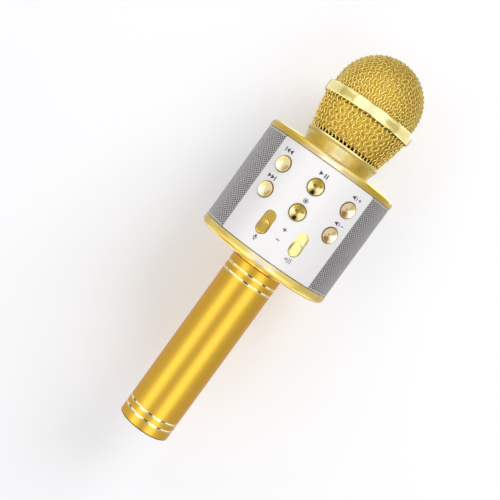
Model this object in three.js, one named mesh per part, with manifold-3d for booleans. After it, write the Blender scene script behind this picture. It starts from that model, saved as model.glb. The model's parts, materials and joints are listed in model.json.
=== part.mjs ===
// Wireless karaoke microphone with a built-in speaker drum.
//
// Frame: millimetres, +Z up along the microphone's axis, origin at the centre of the flat end face of the
// handle. The control panel faces -Y and the socket panel faces +Y, so "left" is -X and "right" is +X when
// the microphone is seen from its control side.
//
// From the bottom up: a screw-on aluminium handle that holds one 18650 cell, a round speaker drum with two
// moulded end caps, a control panel, a socket panel and two perforated side grilles, then a flared neck and
// a screw-on wire-mesh head round the microphone capsule.

import * as THREE from "three";
import { mergeVertices } from "three/addons/utils/BufferGeometryUtils.js";
import Module from "manifold-3d";

const wasm = await Module();
wasm.setup();

// ---------------------------------------------------------------- driving dimensions
const TOTAL_HEIGHT = 250;

// handle
const HANDLE_R = 15.8;
const HANDLE_BORE_R = 14.4;
const HANDLE_TOP = 111.4;
const HANDLE_GROOVES = [6.55, 11.05, 101.4, 105.8]; // heights of the bright-cut grooves

// drum
const RIM_R = 40.8; // end caps
const SKIN_R = 40.5; // control panel, socket panel and side grilles
const PANEL_T = 1.4;
const GRILLE_T = 0.7;
const FRAME_R = 38.3;
const FRAME_BORE_R = 36.6;
const DRUM_BOTTOM = 114.6;
const SKIN_BOTTOM = 120.4;
const SKIN_TOP = 179.7;
const DRUM_TOP = 184.2;
const PANEL_HALF_ANGLE = 44; // degrees each side of the panel's centre line

// push buttons
const BUTTON_R = 4.5;
const BUTTON_HOLE_R = 4.75;
const BUTTON_COLUMN = 31; // degrees from the front centre line
const BUTTON_ROW_HIGH = 166.3;
const BUTTON_ROW_LOW = 150.2;
const BUTTON_TRAVEL = 0.7;

// slide controls
const SLIDER_ANGLE = 15;
const SLIDER_SLOT_Z = 136.5;
const SLIDER_SLOT_L = 14.2;
const SLIDER_SLOT_W = 6.9;
const SLIDER_KNOB_L = 8.0;
const SLIDER_KNOB_W = 6.1;
const SLIDER_TRAVEL = 5.6;

// screw joints
const LEAD = 2; // both threads, right-handed
const HANDLE_THREAD_CORE = 11.8;
const HEAD_THREAD_CORE = 18.6;
const THREAD_SEGMENTS = 20;

// speakers
const SPEAKER_Z = 150;
const SPEAKER_FLANGE_R = 18.2;

// head
const DOME_R = 26.2;
const DOME_Z = TOTAL_HEIGHT - DOME_R;
const MESH_T = 1.1;
const BAND_R = 28.2;

// socket panel
const SWITCH_Z = 168;
const JACK_X = -9.5;
const CHARGE_X = 9.5;
const SOCKET_ROW_Z = 153;
const USB_Z = 138;
const SWITCH_TRAVEL = 3.5;

// ---------------------------------------------------------------- materials
const metal = (color, roughness, metalness = 1) => new THREE.MeshStandardMaterial({ color, roughness, metalness });
const GOLD_SATIN = metal(0xe0b030, 0.38);
const GOLD_GLOSS = metal(0xd9bb55, 0.22);
const GOLD_MESH = metal(0xcfa63a, 0.32);
const SILVER_PANEL = metal(0xf0efee, 0.45, 0.2);
const GRILLE_GREY = metal(0x9a989a, 0.4, 0.8);
const BLACK_ABS = metal(0x1b1b1d, 0.6, 0);
const BOARD_GREEN = metal(0x1d5a36, 0.5, 0);
const STEEL = metal(0xb9bcc0, 0.3);
const NICKEL = metal(0xc9c9c4, 0.25);
const FOAM = metal(0x161616, 0.95, 0);
const RUBBER = metal(0x222222, 0.85, 0);
const PAPER = metal(0x2a2a2a, 0.8, 0);
const CELL_WRAP = metal(0x2c6fb0, 0.4, 0);
const BRASS = metal(0xc8a24a, 0.3);

// ---------------------------------------------------------------- solids
// A closed three.js geometry as a manifold solid, turned the right way out if its faces point inwards.
function solid(geometry) {
  const g = geometry.index ? geometry.toNonIndexed() : geometry.clone();
  g.deleteAttribute("normal");
  g.deleteAttribute("uv");
  const m = mergeVertices(g, 1e-4);
  const tri = new Uint32Array(m.index.array);
  const p = m.attributes.position.array;
  let volume = 0;
  for (let i = 0; i < tri.length; i += 3) {
    const [a, b, c] = [tri[i] * 3, tri[i + 1] * 3, tri[i + 2] * 3];
    volume +=
      p[a] * (p[b + 1] * p[c + 2] - p[b + 2] * p[c + 1]) -
      p[a + 1] * (p[b] * p[c + 2] - p[b + 2] * p[c]) +
      p[a + 2] * (p[b] * p[c + 1] - p[b + 1] * p[c]);
  }
  if (volume < 0) for (let i = 0; i < tri.length; i += 3) [tri[i + 1], tri[i + 2]] = [tri[i + 2], tri[i + 1]];
  return new wasm.Manifold(new wasm.Mesh({ numProp: 3, vertProperties: new Float32Array(p), triVerts: tri }));
}

function geometryOf(made) {
  const m = made.getMesh();
  const v = new Float32Array(m.numVert * 3);
  for (let i = 0; i < m.numVert; i++) v.set(m.vertProperties.subarray(i * m.numProp, i * m.numProp + 3), i * 3);
  const g = new THREE.BufferGeometry();
  g.setAttribute("position", new THREE.BufferAttribute(v, 3));
  g.setIndex(new THREE.BufferAttribute(new Uint32Array(m.triVerts), 1));
  g.computeVertexNormals();
  return g;
}

const cut = (a, ...others) => others.reduce((s, o) => s.subtract(o), a);
const join = (a, ...others) => others.reduce((s, o) => s.add(o), a);

// Revolves a closed [radius, height] profile about +Z. A profile that touches the axis closes there.
function turned(profile, segments) {
  const pts = profile.map(([r, z]) => new THREE.Vector2(r, z));
  if (profile[0][0] > 1e-9 || profile[profile.length - 1][0] > 1e-9) pts.push(pts[0].clone());
  return new THREE.LatheGeometry(pts, segments).rotateX(Math.PI / 2);
}

const box = (x0, x1, y0, y1, z0, z1) =>
  new THREE.BoxGeometry(x1 - x0, y1 - y0, z1 - z0).translate((x0 + x1) / 2, (y0 + y1) / 2, (z0 + z1) / 2);

// A cylinder along +Z from z0 to z1.
const rod = (r, z0, z1, segments = 20) =>
  new THREE.CylinderGeometry(r, r, z1 - z0, segments).rotateX(Math.PI / 2).translate(0, 0, (z0 + z1) / 2);

// Part of a tube wall about +Z. Angles are in degrees from -Y towards +X.
function arcPlate(rOut, rIn, a0, a1, z0, z1, segments) {
  const pts = [];
  const at = (r, a) => new THREE.Vector2(r * Math.sin((a * Math.PI) / 180), -r * Math.cos((a * Math.PI) / 180));
  for (let i = 0; i <= segments; i++) pts.push(at(rOut, a0 + ((a1 - a0) * i) / segments));
  for (let i = segments; i >= 0; i--) pts.push(at(rIn, a0 + ((a1 - a0) * i) / segments));
  return new THREE.ExtrudeGeometry(new THREE.Shape(pts), { depth: z1 - z0, bevelEnabled: false, steps: 1 }).translate(0, 0, z0);
}

// A round-ended slot shape, upright in its own XY plane, extruded from z0 to z1.
function pill(width, length, z0, z1, arcSegments = 6) {
  const r = width / 2;
  const s = length / 2 - r;
  const pts = [];
  for (let i = 0; i <= arcSegments; i++) {
    const a = (Math.PI * i) / arcSegments;
    pts.push(new THREE.Vector2(r * Math.cos(a), s + r * Math.sin(a)));
  }
  for (let i = 0; i <= arcSegments; i++) {
    const a = Math.PI + (Math.PI * i) / arcSegments;
    pts.push(new THREE.Vector2(r * Math.cos(a), -s + r * Math.sin(a)));
  }
  return new THREE.ExtrudeGeometry(new THREE.Shape(pts), { depth: z1 - z0, bevelEnabled: false }).translate(0, 0, z0);
}

// A helical rib of trapezoid section, right-handed about +Z, from height z0 upwards.
function threadRib(rRoot, rCrest, z0, turns, wRoot = 0.95, wCrest = 0.4) {
  const n = Math.round(THREAD_SEGMENTS * turns);
  const v = [];
  for (let i = 0; i <= n; i++) {
    const a = (2 * Math.PI * i) / THREAD_SEGMENTS;
    const z = z0 + (LEAD * i) / THREAD_SEGMENTS;
    for (const [r, dz] of [[rRoot, -wRoot / 2], [rCrest, -wCrest / 2], [rCrest, wCrest / 2], [rRoot, wRoot / 2]])
      v.push(r * Math.sin(a), -r * Math.cos(a), z + dz);
  }
  const idx = [];
  for (let i = 0; i < n; i++)
    for (let k = 0; k < 4; k++) {
      const a = i * 4 + k, b = i * 4 + ((k + 1) % 4), c = a + 4, d = b + 4;
      idx.push(a, b, c, b, d, c);
    }
  idx.push(0, 2, 1, 0, 3, 2);
  const e = n * 4;
  idx.push(e, e + 1, e + 2, e, e + 2, e + 3);
  const g = new THREE.BufferGeometry();
  g.setAttribute("position", new THREE.Float32BufferAttribute(v, 3));
  g.setIndex(idx);
  return g;
}

// The frame of a point on the drum: local +Z points out of the drum, +Y up and +X along the surface.
function drumMatrix(angle, z) {
  const a = (angle * Math.PI) / 180;
  const m = new THREE.Matrix4().makeBasis(
    new THREE.Vector3(Math.cos(a), Math.sin(a), 0),
    new THREE.Vector3(0, 0, 1),
    new THREE.Vector3(Math.sin(a), -Math.cos(a), 0),
  );
  return m.setPosition(0, 0, z);
}
const onDrum = (geometry, angle, z) => geometry.applyMatrix4(drumMatrix(angle, z));

const microphone = new THREE.Group();
microphone.name = "karaoke_microphone";

function piece(name, made, material, parent = microphone) {
  const mesh = new THREE.Mesh(made.isBufferGeometry ? geometryOf(solid(made)) : geometryOf(made), material);
  mesh.name = name;
  parent.add(mesh);
  return mesh;
}
function drumGroup(angle, z) {
  const g = new THREE.Group();
  g.applyMatrix4(drumMatrix(angle, z));
  microphone.add(g);
  return g;
}

// ---------------------------------------------------------------- control layout
const BUTTONS = [
  ["previous", -BUTTON_COLUMN, BUTTON_ROW_HIGH],
  ["next", -BUTTON_COLUMN, BUTTON_ROW_LOW],
  ["play", 0, BUTTON_ROW_HIGH],
  ["record", 0, BUTTON_ROW_LOW],
  ["volume_up", BUTTON_COLUMN, BUTTON_ROW_HIGH],
  ["volume_down", BUTTON_COLUMN, BUTTON_ROW_LOW],
];
const SLIDERS = [["mic", -SLIDER_ANGLE], ["echo", SLIDER_ANGLE]];

// ---------------------------------------------------------------- handle
// Anodised tube with two pairs of V grooves that show bright metal.
{
  const profile = [[HANDLE_BORE_R, 0.2], [15.1, 0.2], [15.6, 0.5], [HANDLE_R, 1.1]];
  for (const z of HANDLE_GROOVES) profile.push([HANDLE_R, z - 0.5], [HANDLE_R - 0.25, z], [HANDLE_R, z + 0.5]);
  profile.push([HANDLE_R, HANDLE_TOP - 0.5], [HANDLE_R - 0.4, HANDLE_TOP], [HANDLE_BORE_R, HANDLE_TOP]);
  piece("handle_tube", turned(profile, 24), GOLD_SATIN);
}
piece("handle_end_plug", turned([[0, 0], [13.6, 0], [14.0, 0.5], [14.0, 5.4], [12.6, 5.4], [12.6, 3.2], [0, 3.2]], 24), BLACK_ABS);
piece("battery_sleeve", turned([[9.7, 5.8], [13.9, 5.8], [13.9, 103.2], [9.7, 103.2]], 20), BLACK_ABS);

// Conical negative spring between the end plug and the cell.
{
  class Coil extends THREE.Curve {
    getPoint(t, target = new THREE.Vector3()) {
      const a = 2 * Math.PI * 4.5 * t;
      const r = 8.2 - 2.4 * t;
      return target.set(r * Math.cos(a), r * Math.sin(a), 4.0 + 23.6 * t);
    }
  }
  const section = new THREE.Shape();
  for (let i = 0; i < 4; i++) {
    const a = (Math.PI * i) / 2;
    section[i ? "lineTo" : "moveTo"](0.5 * Math.cos(a), 0.5 * Math.sin(a));
  }
  section.closePath();
  piece("battery_spring", new THREE.ExtrudeGeometry(section, { steps: 50, extrudePath: new Coil() }), STEEL);
}
piece("battery_cell", turned([[0, 28.5], [8.8, 28.5], [9.2, 29], [9.2, 93.2], [8.8, 93.6], [3, 93.6], [3, 95.1], [0, 95.1]], 18), CELL_WRAP);

// Threaded ring fixed in the top of the tube: its inner rib runs between the turns of the socket's rib.
piece(
  "thread_insert",
  join(
    solid(turned([[12.8, 103.6], [14.0, 103.6], [14.0, 111.2], [12.8, 111.2]], THREAD_SEGMENTS)),
    solid(threadRib(13.1, HANDLE_THREAD_CORE + 0.3, 107.9, 1.25)),
  ),
  NICKEL,
);

// Threaded socket under the drum. Its flange is the thin ring seen between the handle and the drum.
{
  const screws = [90, 270];
  let s = join(
    solid(turned([[9.8, 104.2], [HANDLE_THREAD_CORE, 104.2], [HANDLE_THREAD_CORE, 111.8], [16.9, 111.8], [17.2, 112.3], [17.2, 114.1], [16.9, 114.5], [9.8, 114.5]], THREAD_SEGMENTS)),
    solid(threadRib(HANDLE_THREAD_CORE - 0.3, HANDLE_THREAD_CORE + 0.7, 104.9, 2.6)),
  );
  for (const a of screws) s = s.subtract(solid(rod(1.35, 112.4, 115, 10).translate(14.2 * Math.sin((a * Math.PI) / 180), -14.2 * Math.cos((a * Math.PI) / 180), 0)));
  piece("handle_socket", s, GOLD_GLOSS);
  screws.forEach((a, i) => {
    const g = turned([[0, 112.6], [1.1, 112.6], [1.1, 116.7], [2.3, 116.7], [2.3, 117.7], [1.6, 118.2], [0, 118.2]], 12);
    piece(`socket_screw_${i + 1}`, g.translate(14.2 * Math.sin((a * Math.PI) / 180), -14.2 * Math.cos((a * Math.PI) / 180), 0), STEEL);
  });
}
piece("contact_carrier", turned([[1.8, 96.4], [9.2, 96.4], [9.2, 100], [9.5, 104.4], [9.5, 113.6], [8, 113.6], [8, 98.4], [1.8, 98.4]], 16), BLACK_ABS);
piece("positive_contact", turned([[0, 95.4], [4.5, 95.4], [4.5, 96.1], [1.5, 96.1], [1.5, 99.6], [0, 99.6]], 12), BRASS);

// ---------------------------------------------------------------- drum
{
  let cap = solid(
    turned(
      [[10, DRUM_BOTTOM], [37.9, DRUM_BOTTOM], [39.4, 115.2], [40.4, 116.2], [RIM_R, 117.6], [RIM_R, SKIN_BOTTOM - 0.2], [39, SKIN_BOTTOM - 0.2], [39, 116.6], [10, 116.6]],
      36,
    ),
  );
  for (const a of [90, 270]) cap = cap.subtract(solid(rod(1.5, 114, 117, 10).translate(14.2 * Math.sin((a * Math.PI) / 180), -14.2 * Math.cos((a * Math.PI) / 180), 0)));
  piece("bottom_cap", cap, GOLD_GLOSS);
}
piece(
  "top_cap",
  turned([[12, 182.2], [39, 182.2], [39, SKIN_TOP + 0.2], [RIM_R, SKIN_TOP + 0.2], [RIM_R, 182.0], [40.4, 183.2], [39.5, 183.9], [38.2, DRUM_TOP], [12, DRUM_TOP]], 36),
  GOLD_GLOSS,
);

// Inner frame: a tube with a round opening and a seat for each speaker, and openings for the controls and sockets.
{
  let f = solid(turned([[FRAME_BORE_R, 116.9], [FRAME_R, 116.9], [FRAME_R, 181.9], [FRAME_BORE_R, 181.9]], 36));
  const drum = solid(rod(FRAME_R - 0.3, 118, 182, 36));
  for (const side of [-1, 1]) {
    const seat = solid(rod(19.6, 31.9, 40, 20).rotateY((side * Math.PI) / 2).translate(0, 0, SPEAKER_Z)).intersect(drum);
    f = f.add(seat);
  }
  f = f.subtract(solid(rod(17.4, -41, 41, 20).rotateY(Math.PI / 2).translate(0, 0, SPEAKER_Z)));
  for (const [, a, z] of BUTTONS) f = f.subtract(solid(onDrum(rod(5.2, 30, 42, 10), a, z)));
  for (const [, a] of SLIDERS) f = f.subtract(solid(onDrum(pill(3.4, 13.6, 30, 42, 3), a, SLIDER_SLOT_Z)));
  f = f.subtract(solid(box(-16.5, 16.5, 30, 42, 125.5, 174)));
  piece("body_frame", f, BLACK_ABS);
}
{
  let p = solid(arcPlate(SKIN_R, SKIN_R - PANEL_T, -PANEL_HALF_ANGLE, PANEL_HALF_ANGLE, SKIN_BOTTOM + 0.1, SKIN_TOP - 0.1, 16));
  for (const [, a, z] of BUTTONS) p = p.subtract(solid(onDrum(rod(BUTTON_HOLE_R, 36, 44, 14), a, z)));
  for (const [, a] of SLIDERS) p = p.subtract(solid(onDrum(pill(SLIDER_SLOT_W, SLIDER_SLOT_L, 36, 44, 5), a, SLIDER_SLOT_Z)));
  piece("front_panel", p, SILVER_PANEL);
}
{
  let p = solid(arcPlate(SKIN_R, SKIN_R - PANEL_T, 180 - PANEL_HALF_ANGLE, 180 + PANEL_HALF_ANGLE, SKIN_BOTTOM + 0.1, SKIN_TOP - 0.1, 16));
  p = cut(
    p,
    solid(box(-5.2, 5.2, 36, 44, SWITCH_Z - 2.4, SWITCH_Z + 2.4)),
    solid(rod(3.3, 36, 44, 16).rotateX(-Math.PI / 2).translate(JACK_X, 0, SOCKET_ROW_Z)),
    solid(box(CHARGE_X - 4.3, CHARGE_X + 4.3, 34, 44, SOCKET_ROW_Z - 1.9, SOCKET_ROW_Z + 1.9)),
    solid(box(-7, 7, 36, 44, USB_Z - 3.3, USB_Z + 3.3)),
  );
  piece("rear_panel", p, SILVER_PANEL);
}
for (const [side, a] of [["left", -90], ["right", 90]])
  piece(`side_grille_${side}`, arcPlate(SKIN_R, SKIN_R - GRILLE_T, a - (90 - PANEL_HALF_ANGLE) + 0.4, a + (90 - PANEL_HALF_ANGLE) - 0.4, SKIN_BOTTOM + 0.1, SKIN_TOP - 0.1, 16), GRILLE_GREY);

// ---------------------------------------------------------------- controls
// Button caps: a dished round face, a flange behind the frame and a stem that presses its tact switch.
for (const [name, a, z] of BUTTONS) {
  const g = drumGroup(a, z);
  piece(
    `button_${name}`,
    turned([[0, 40.9], [3.5, 41.15], [4.2, 41.2], [BUTTON_R, 40.9], [BUTTON_R, 35.8], [5.9, 35.8], [5.9, 34.9], [1.6, 34.9], [1.6, 33.4], [0, 33.4]], 14),
    GOLD_GLOSS,
    g,
  );
  piece(`tact_switch_${name}`, join(solid(box(-3, 3, -3, 3, 28, 31.9)), solid(rod(1.7, 31, 32.5, 12))), BLACK_ABS, g);
}
// The centre board is T-shaped: wide under the slide controls, narrow between the angled side boards.
{
  const s = new THREE.Shape([[-17, 126], [17, 126], [17, 143.5], [6.6, 143.5], [6.6, 175], [-6.6, 175], [-6.6, 143.5], [-17, 143.5]].map(([x, y]) => new THREE.Vector2(x, y)));
  const board = new THREE.ExtrudeGeometry(s, { depth: 1.6, bevelEnabled: false }).rotateX(Math.PI / 2).translate(0, -26.2, 0);
  piece("button_board_centre", board, BOARD_GREEN);
}
for (const [side, a] of [["left", -BUTTON_COLUMN], ["right", BUTTON_COLUMN]])
  piece(`button_board_${side}`, box(-5.6, 5.6, -14.2, 15.2, 26.2, 27.8), BOARD_GREEN, drumGroup(a, (BUTTON_ROW_HIGH + BUTTON_ROW_LOW) / 2));

// Slide controls: a knob with a curved dust skirt under the panel and a lever into its slide potentiometer.
for (const [name, a] of SLIDERS) {
  const zk = SLIDER_SLOT_Z - SLIDER_TRAVEL / 2;
  const g = drumGroup(a, zk);
  const knob = join(
    solid(pill(SLIDER_KNOB_W, SLIDER_KNOB_L, 38.5, 41.1, 5)),
    solid(arcPlate(38.9, 38.5, -5.6, 5.6, -10.3, 10.3, 6).rotateX(-Math.PI / 2)),
    solid(box(-1.1, 1.1, -1.5, 1.5, 33.2, 38.7)),
  );
  piece(`slider_knob_${name}`, knob, GOLD_GLOSS, g);
  const gp = drumGroup(a, SLIDER_SLOT_Z);
  piece(`slide_pot_${name}`, cut(solid(box(-3.4, 3.4, -9, 9, 30.4, 34.6)), solid(box(-1.6, 1.6, -5.6, 5.6, 32.6, 36))), STEEL, gp);
}

// ---------------------------------------------------------------- socket side
piece("main_board", box(-17, 17, 24, 25.6, 124, 175.5), BOARD_GREEN);
piece("usb_port", cut(solid(box(-6.6, 6.6, 26, 38.3, USB_Z - 2.9, USB_Z + 2.9)), join(solid(box(-6.1, 6.1, 29, 40, USB_Z - 2.4, USB_Z - 0.2)), solid(box(-6.1, 6.1, 29, 40, USB_Z - 0.3, USB_Z + 0.5)).subtract(solid(box(-5.4, 5.4, 28, 37.5, USB_Z - 0.31, USB_Z + 2))), solid(box(-6.1, 6.1, 37.5, 40, USB_Z - 2.4, USB_Z + 2.4)))), NICKEL);
piece("charging_port", cut(solid(box(CHARGE_X - 3.8, CHARGE_X + 3.8, 26, 37, SOCKET_ROW_Z - 1.4, SOCKET_ROW_Z + 1.4)), solid(box(CHARGE_X - 3.4, CHARGE_X + 3.4, 31, 40, SOCKET_ROW_Z - 1, SOCKET_ROW_Z + 1))), NICKEL);
piece("headphone_jack", cut(join(solid(box(JACK_X - 3.5, JACK_X + 3.5, 26, 35.5, SOCKET_ROW_Z - 3, SOCKET_ROW_Z + 3)), solid(rod(2.9, 35, 38, 16).rotateX(-Math.PI / 2).translate(JACK_X, 0, SOCKET_ROW_Z))), solid(rod(1.8, 28, 40, 12).rotateX(-Math.PI / 2).translate(JACK_X, 0, SOCKET_ROW_Z))), BLACK_ABS);
piece("power_switch_body", cut(solid(box(-5, 5, 26, 33.2, SWITCH_Z - 2.4, SWITCH_Z + 2.4)), solid(box(-3.6, 3.6, 31, 35, SWITCH_Z - 1.4, SWITCH_Z + 1.4))), STEEL);
{
  const x = -SWITCH_TRAVEL / 2;
  let k = join(solid(box(x - 2.5, x + 2.5, 38.4, 41.4, SWITCH_Z - 1.9, SWITCH_Z + 1.9)), solid(box(x - 1, x + 1, 31.6, 38.6, SWITCH_Z - 1, SWITCH_Z + 1)));
  for (const d of [-1.2, 0, 1.2]) k = k.subtract(solid(box(x + d - 0.25, x + d + 0.25, 41.0, 42, SWITCH_Z - 3, SWITCH_Z + 3)));
  piece("power_switch_knob", k, BLACK_ABS);
}

// ---------------------------------------------------------------- speakers
for (const [side, s] of [["left", -1], ["right", 1]]) {
  const place = (g) => g.rotateY((s * Math.PI) / 2).translate(0, 0, SPEAKER_Z);
  piece(
    `speaker_basket_${side}`,
    place(turned([[6.4, 20], [11.6, 20], [11.8, 21], [17, 28.3], [17, 30.3], [SPEAKER_FLANGE_R, 30.3], [SPEAKER_FLANGE_R, 31.4], [16.6, 31.4], [16.4, 30.6], [16, 28.6], [10.9, 21.3], [6.4, 21.3]], 18)),
    BLACK_ABS,
  );
  piece(`speaker_magnet_${side}`, place(turned([[0, 12.5], [10.8, 12.5], [10.8, 19.8], [6.2, 19.8], [6.2, 17.4], [4.5, 17.4], [4.5, 22], [0, 22]], 16)), STEEL);
  piece(
    `speaker_cone_${side}`,
    place(turned([[0, 27.2], [4.8, 25.8], [5.6, 25.3], [13.8, 30], [14.7, 30.8], [15.6, 30.6], [15.6, 30.1], [14.7, 30.2], [14, 29.5], [5.6, 24.7], [5.6, 19.3], [5.1, 19.3], [5.1, 25], [0, 26.6]], 16)),
    PAPER,
  );
}

// ---------------------------------------------------------------- neck and capsule
piece(
  "neck_collar",
  join(
    solid(turned([[5, 181], [11.7, 181], [11.7, 184.4], [20.8, 184.4], [21.3, 186.6], [22.6, 190.9], [HEAD_THREAD_CORE + 1, 190.9], [HEAD_THREAD_CORE + 1, 186.2], [5, 186.2]], THREAD_SEGMENTS)),
    solid(threadRib(HEAD_THREAD_CORE + 1.3, HEAD_THREAD_CORE + 0.3, 188.2, 1.0)),
  ),
  GOLD_GLOSS,
);
piece("capsule_stem", turned([[3, 182], [4.8, 182], [4.8, 186.4], [8, 186.4], [8, 187.6], [5, 188.2], [5, 204], [3, 204]], 16), BLACK_ABS);
piece("capsule_holder", turned([[5.2, 200.5], [7.2, 200.5], [9.6, 204.5], [9.6, 213], [8.1, 213], [8.1, 205], [5.2, 205]], 16), RUBBER);
piece("mic_capsule", turned([[0, 205.2], [7.8, 205.2], [7.8, 216.2], [7.2, 217], [6.2, 217], [6.0, 216.4], [0, 216.4]], 16), NICKEL);
{
  // Screened lead from the capsule, down the stem and forward to the centre board.
  const path = new THREE.CatmullRomCurve3([[0, 0, 204.9], [0, 0, 196], [0, 0, 186], [0, -0.5, 179.5], [0, -8, 173], [0, -17, 170], [0, -25.6, 169]].map((p) => new THREE.Vector3(...p)));
  const section = new THREE.Shape();
  for (let i = 0; i < 6; i++) {
    const a = (Math.PI * i) / 3;
    section[i ? "lineTo" : "moveTo"](1.1 * Math.cos(a), 1.1 * Math.sin(a));
  }
  section.closePath();
  piece("mic_lead", new THREE.ExtrudeGeometry(section, { steps: 16, extrudePath: path }), BLACK_ABS);
}

// ---------------------------------------------------------------- head
piece(
  "grille_base_ring",
  join(
    solid(turned([[17.4, 186.6], [HEAD_THREAD_CORE, 186.6], [HEAD_THREAD_CORE, 191.7], [22.9, 191.7], [23.1, 192.3], [23, 193.2], [17.4, 193.2]], THREAD_SEGMENTS)),
    solid(threadRib(HEAD_THREAD_CORE - 0.3, HEAD_THREAD_CORE + 0.7, 187.2, 1.7)),
  ),
  GOLD_GLOSS,
);
piece("head_seal", turned([[19.7, 191.1], [22.3, 191.1], [22.3, 191.5], [19.7, 191.5]], THREAD_SEGMENTS), RUBBER);
{
  const outer = [[22.7, 193.5], [23.6, 198], [25.05, 203.4], [26.1, 209], [26.55, 213], [26.6, 216.3]];
  const inner = outer.map(([r, z]) => [r - MESH_T, z]).reverse();
  piece("grille_lower_mesh", turned([...outer, ...inner], 28), GOLD_MESH);
}
piece("grille_band", turned([[26.85, 213.4], [27.8, 213.4], [BAND_R - 0.1, 214], [BAND_R, 216.5], [BAND_R - 0.1, 219], [27.8, 219.6], [26.85, 219.6]], 32), GOLD_GLOSS);
{
  const arc = (r, list) => list.map((d) => [r * Math.cos((d * Math.PI) / 180), DOME_Z + r * Math.sin((d * Math.PI) / 180)]);
  const up = [0, 15, 30, 45, 60, 75];
  const outer = [[26.6, 216.6], [26.45, 220], ...arc(DOME_R, up), [0, DOME_Z + DOME_R]];
  const inner = [[0, DOME_Z + DOME_R - MESH_T], ...arc(DOME_R - MESH_T, up).reverse(), [25.35, 220], [25.5, 216.6]];
  piece("grille_dome_mesh", turned([...outer, ...inner], 28), GOLD_MESH);
  const foamOut = [[20.7, 194.6], [22.4, 200], [24.3, 209], [24.8, 216], ...arc(24.6, [0, 30, 60]), [0, DOME_Z + 24.6]];
  const foamIn = [[0, DOME_Z + 21.6], ...arc(21.6, [0, 30, 60]).reverse(), [21.6, 216], [21.2, 209], [19.4, 200], [17.8, 194.6]];
  piece("foam_liner", turned([...foamOut, ...foamIn], 16), FOAM);
}

export default microphone;
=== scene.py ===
import json
import math

import bpy
import bmesh
import numpy as np
from mathutils import Matrix, Vector
from mathutils.geometry import delaunay_2d_cdt

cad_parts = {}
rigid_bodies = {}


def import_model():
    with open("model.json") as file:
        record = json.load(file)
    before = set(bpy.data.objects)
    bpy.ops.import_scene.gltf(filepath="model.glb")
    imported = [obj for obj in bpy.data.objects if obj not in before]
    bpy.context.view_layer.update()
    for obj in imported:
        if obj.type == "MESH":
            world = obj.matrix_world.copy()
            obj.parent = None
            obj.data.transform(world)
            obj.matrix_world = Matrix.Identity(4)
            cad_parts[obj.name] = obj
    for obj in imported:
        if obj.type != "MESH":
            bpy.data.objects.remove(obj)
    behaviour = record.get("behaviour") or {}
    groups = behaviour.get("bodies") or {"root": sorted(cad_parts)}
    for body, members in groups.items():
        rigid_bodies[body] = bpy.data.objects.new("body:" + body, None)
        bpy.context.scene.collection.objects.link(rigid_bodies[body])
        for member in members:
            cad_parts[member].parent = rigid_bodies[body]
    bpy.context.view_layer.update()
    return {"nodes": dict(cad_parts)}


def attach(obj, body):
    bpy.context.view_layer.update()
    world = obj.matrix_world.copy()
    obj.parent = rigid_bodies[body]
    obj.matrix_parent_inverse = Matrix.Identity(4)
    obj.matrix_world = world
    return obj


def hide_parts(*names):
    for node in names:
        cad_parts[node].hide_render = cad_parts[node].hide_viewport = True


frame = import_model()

NODES = frame["nodes"]
PI = math.pi
scene = bpy.context.scene


# ============================================================ mesh helpers (all lengths in mm until the object is made)
def volume(v, tri):
    a, b, c = v[tri[:, 0]], v[tri[:, 1]], v[tri[:, 2]]
    return float(np.einsum("ij,ij->i", a, np.cross(b, c)).sum() / 6)


def make(name, verts, faces, material, body, replaces=(), sharp=32, matrix=None, mats=None, orient=True, normals=None):
    """A mesh object in metres, facing out, shaded smooth with its sharp edges marked, riding on a body."""
    verts = np.asarray(verts, float)
    if isinstance(faces, np.ndarray):
        faces = faces.tolist()
    if orient:
        tri = []
        for f in faces:
            for k in range(1, len(f) - 1):
                tri.append((f[0], f[k], f[k + 1]))
        if volume(verts, np.array(tri)) < 0:
            faces = [list(reversed(f)) for f in faces]
            if normals is not None:
                normals = [n for n in normals]
    me = bpy.data.meshes.new(name)
    me.from_pydata((verts / 1000.0).tolist(), [], faces)
    me.polygons.foreach_set("use_smooth", [True] * len(me.polygons))
    me.update()
    me.set_sharp_from_angle(angle=math.radians(sharp))
    me.materials.append(material)
    for extra in mats or []:
        me.materials.append(extra)
    ob = bpy.data.objects.new(name, me)
    scene.collection.objects.link(ob)
    if matrix is not None:
        ob.matrix_world = matrix
    if replaces:
        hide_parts(*([replaces] if isinstance(replaces, str) else replaces))
    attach(ob, body)
    return ob


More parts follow.
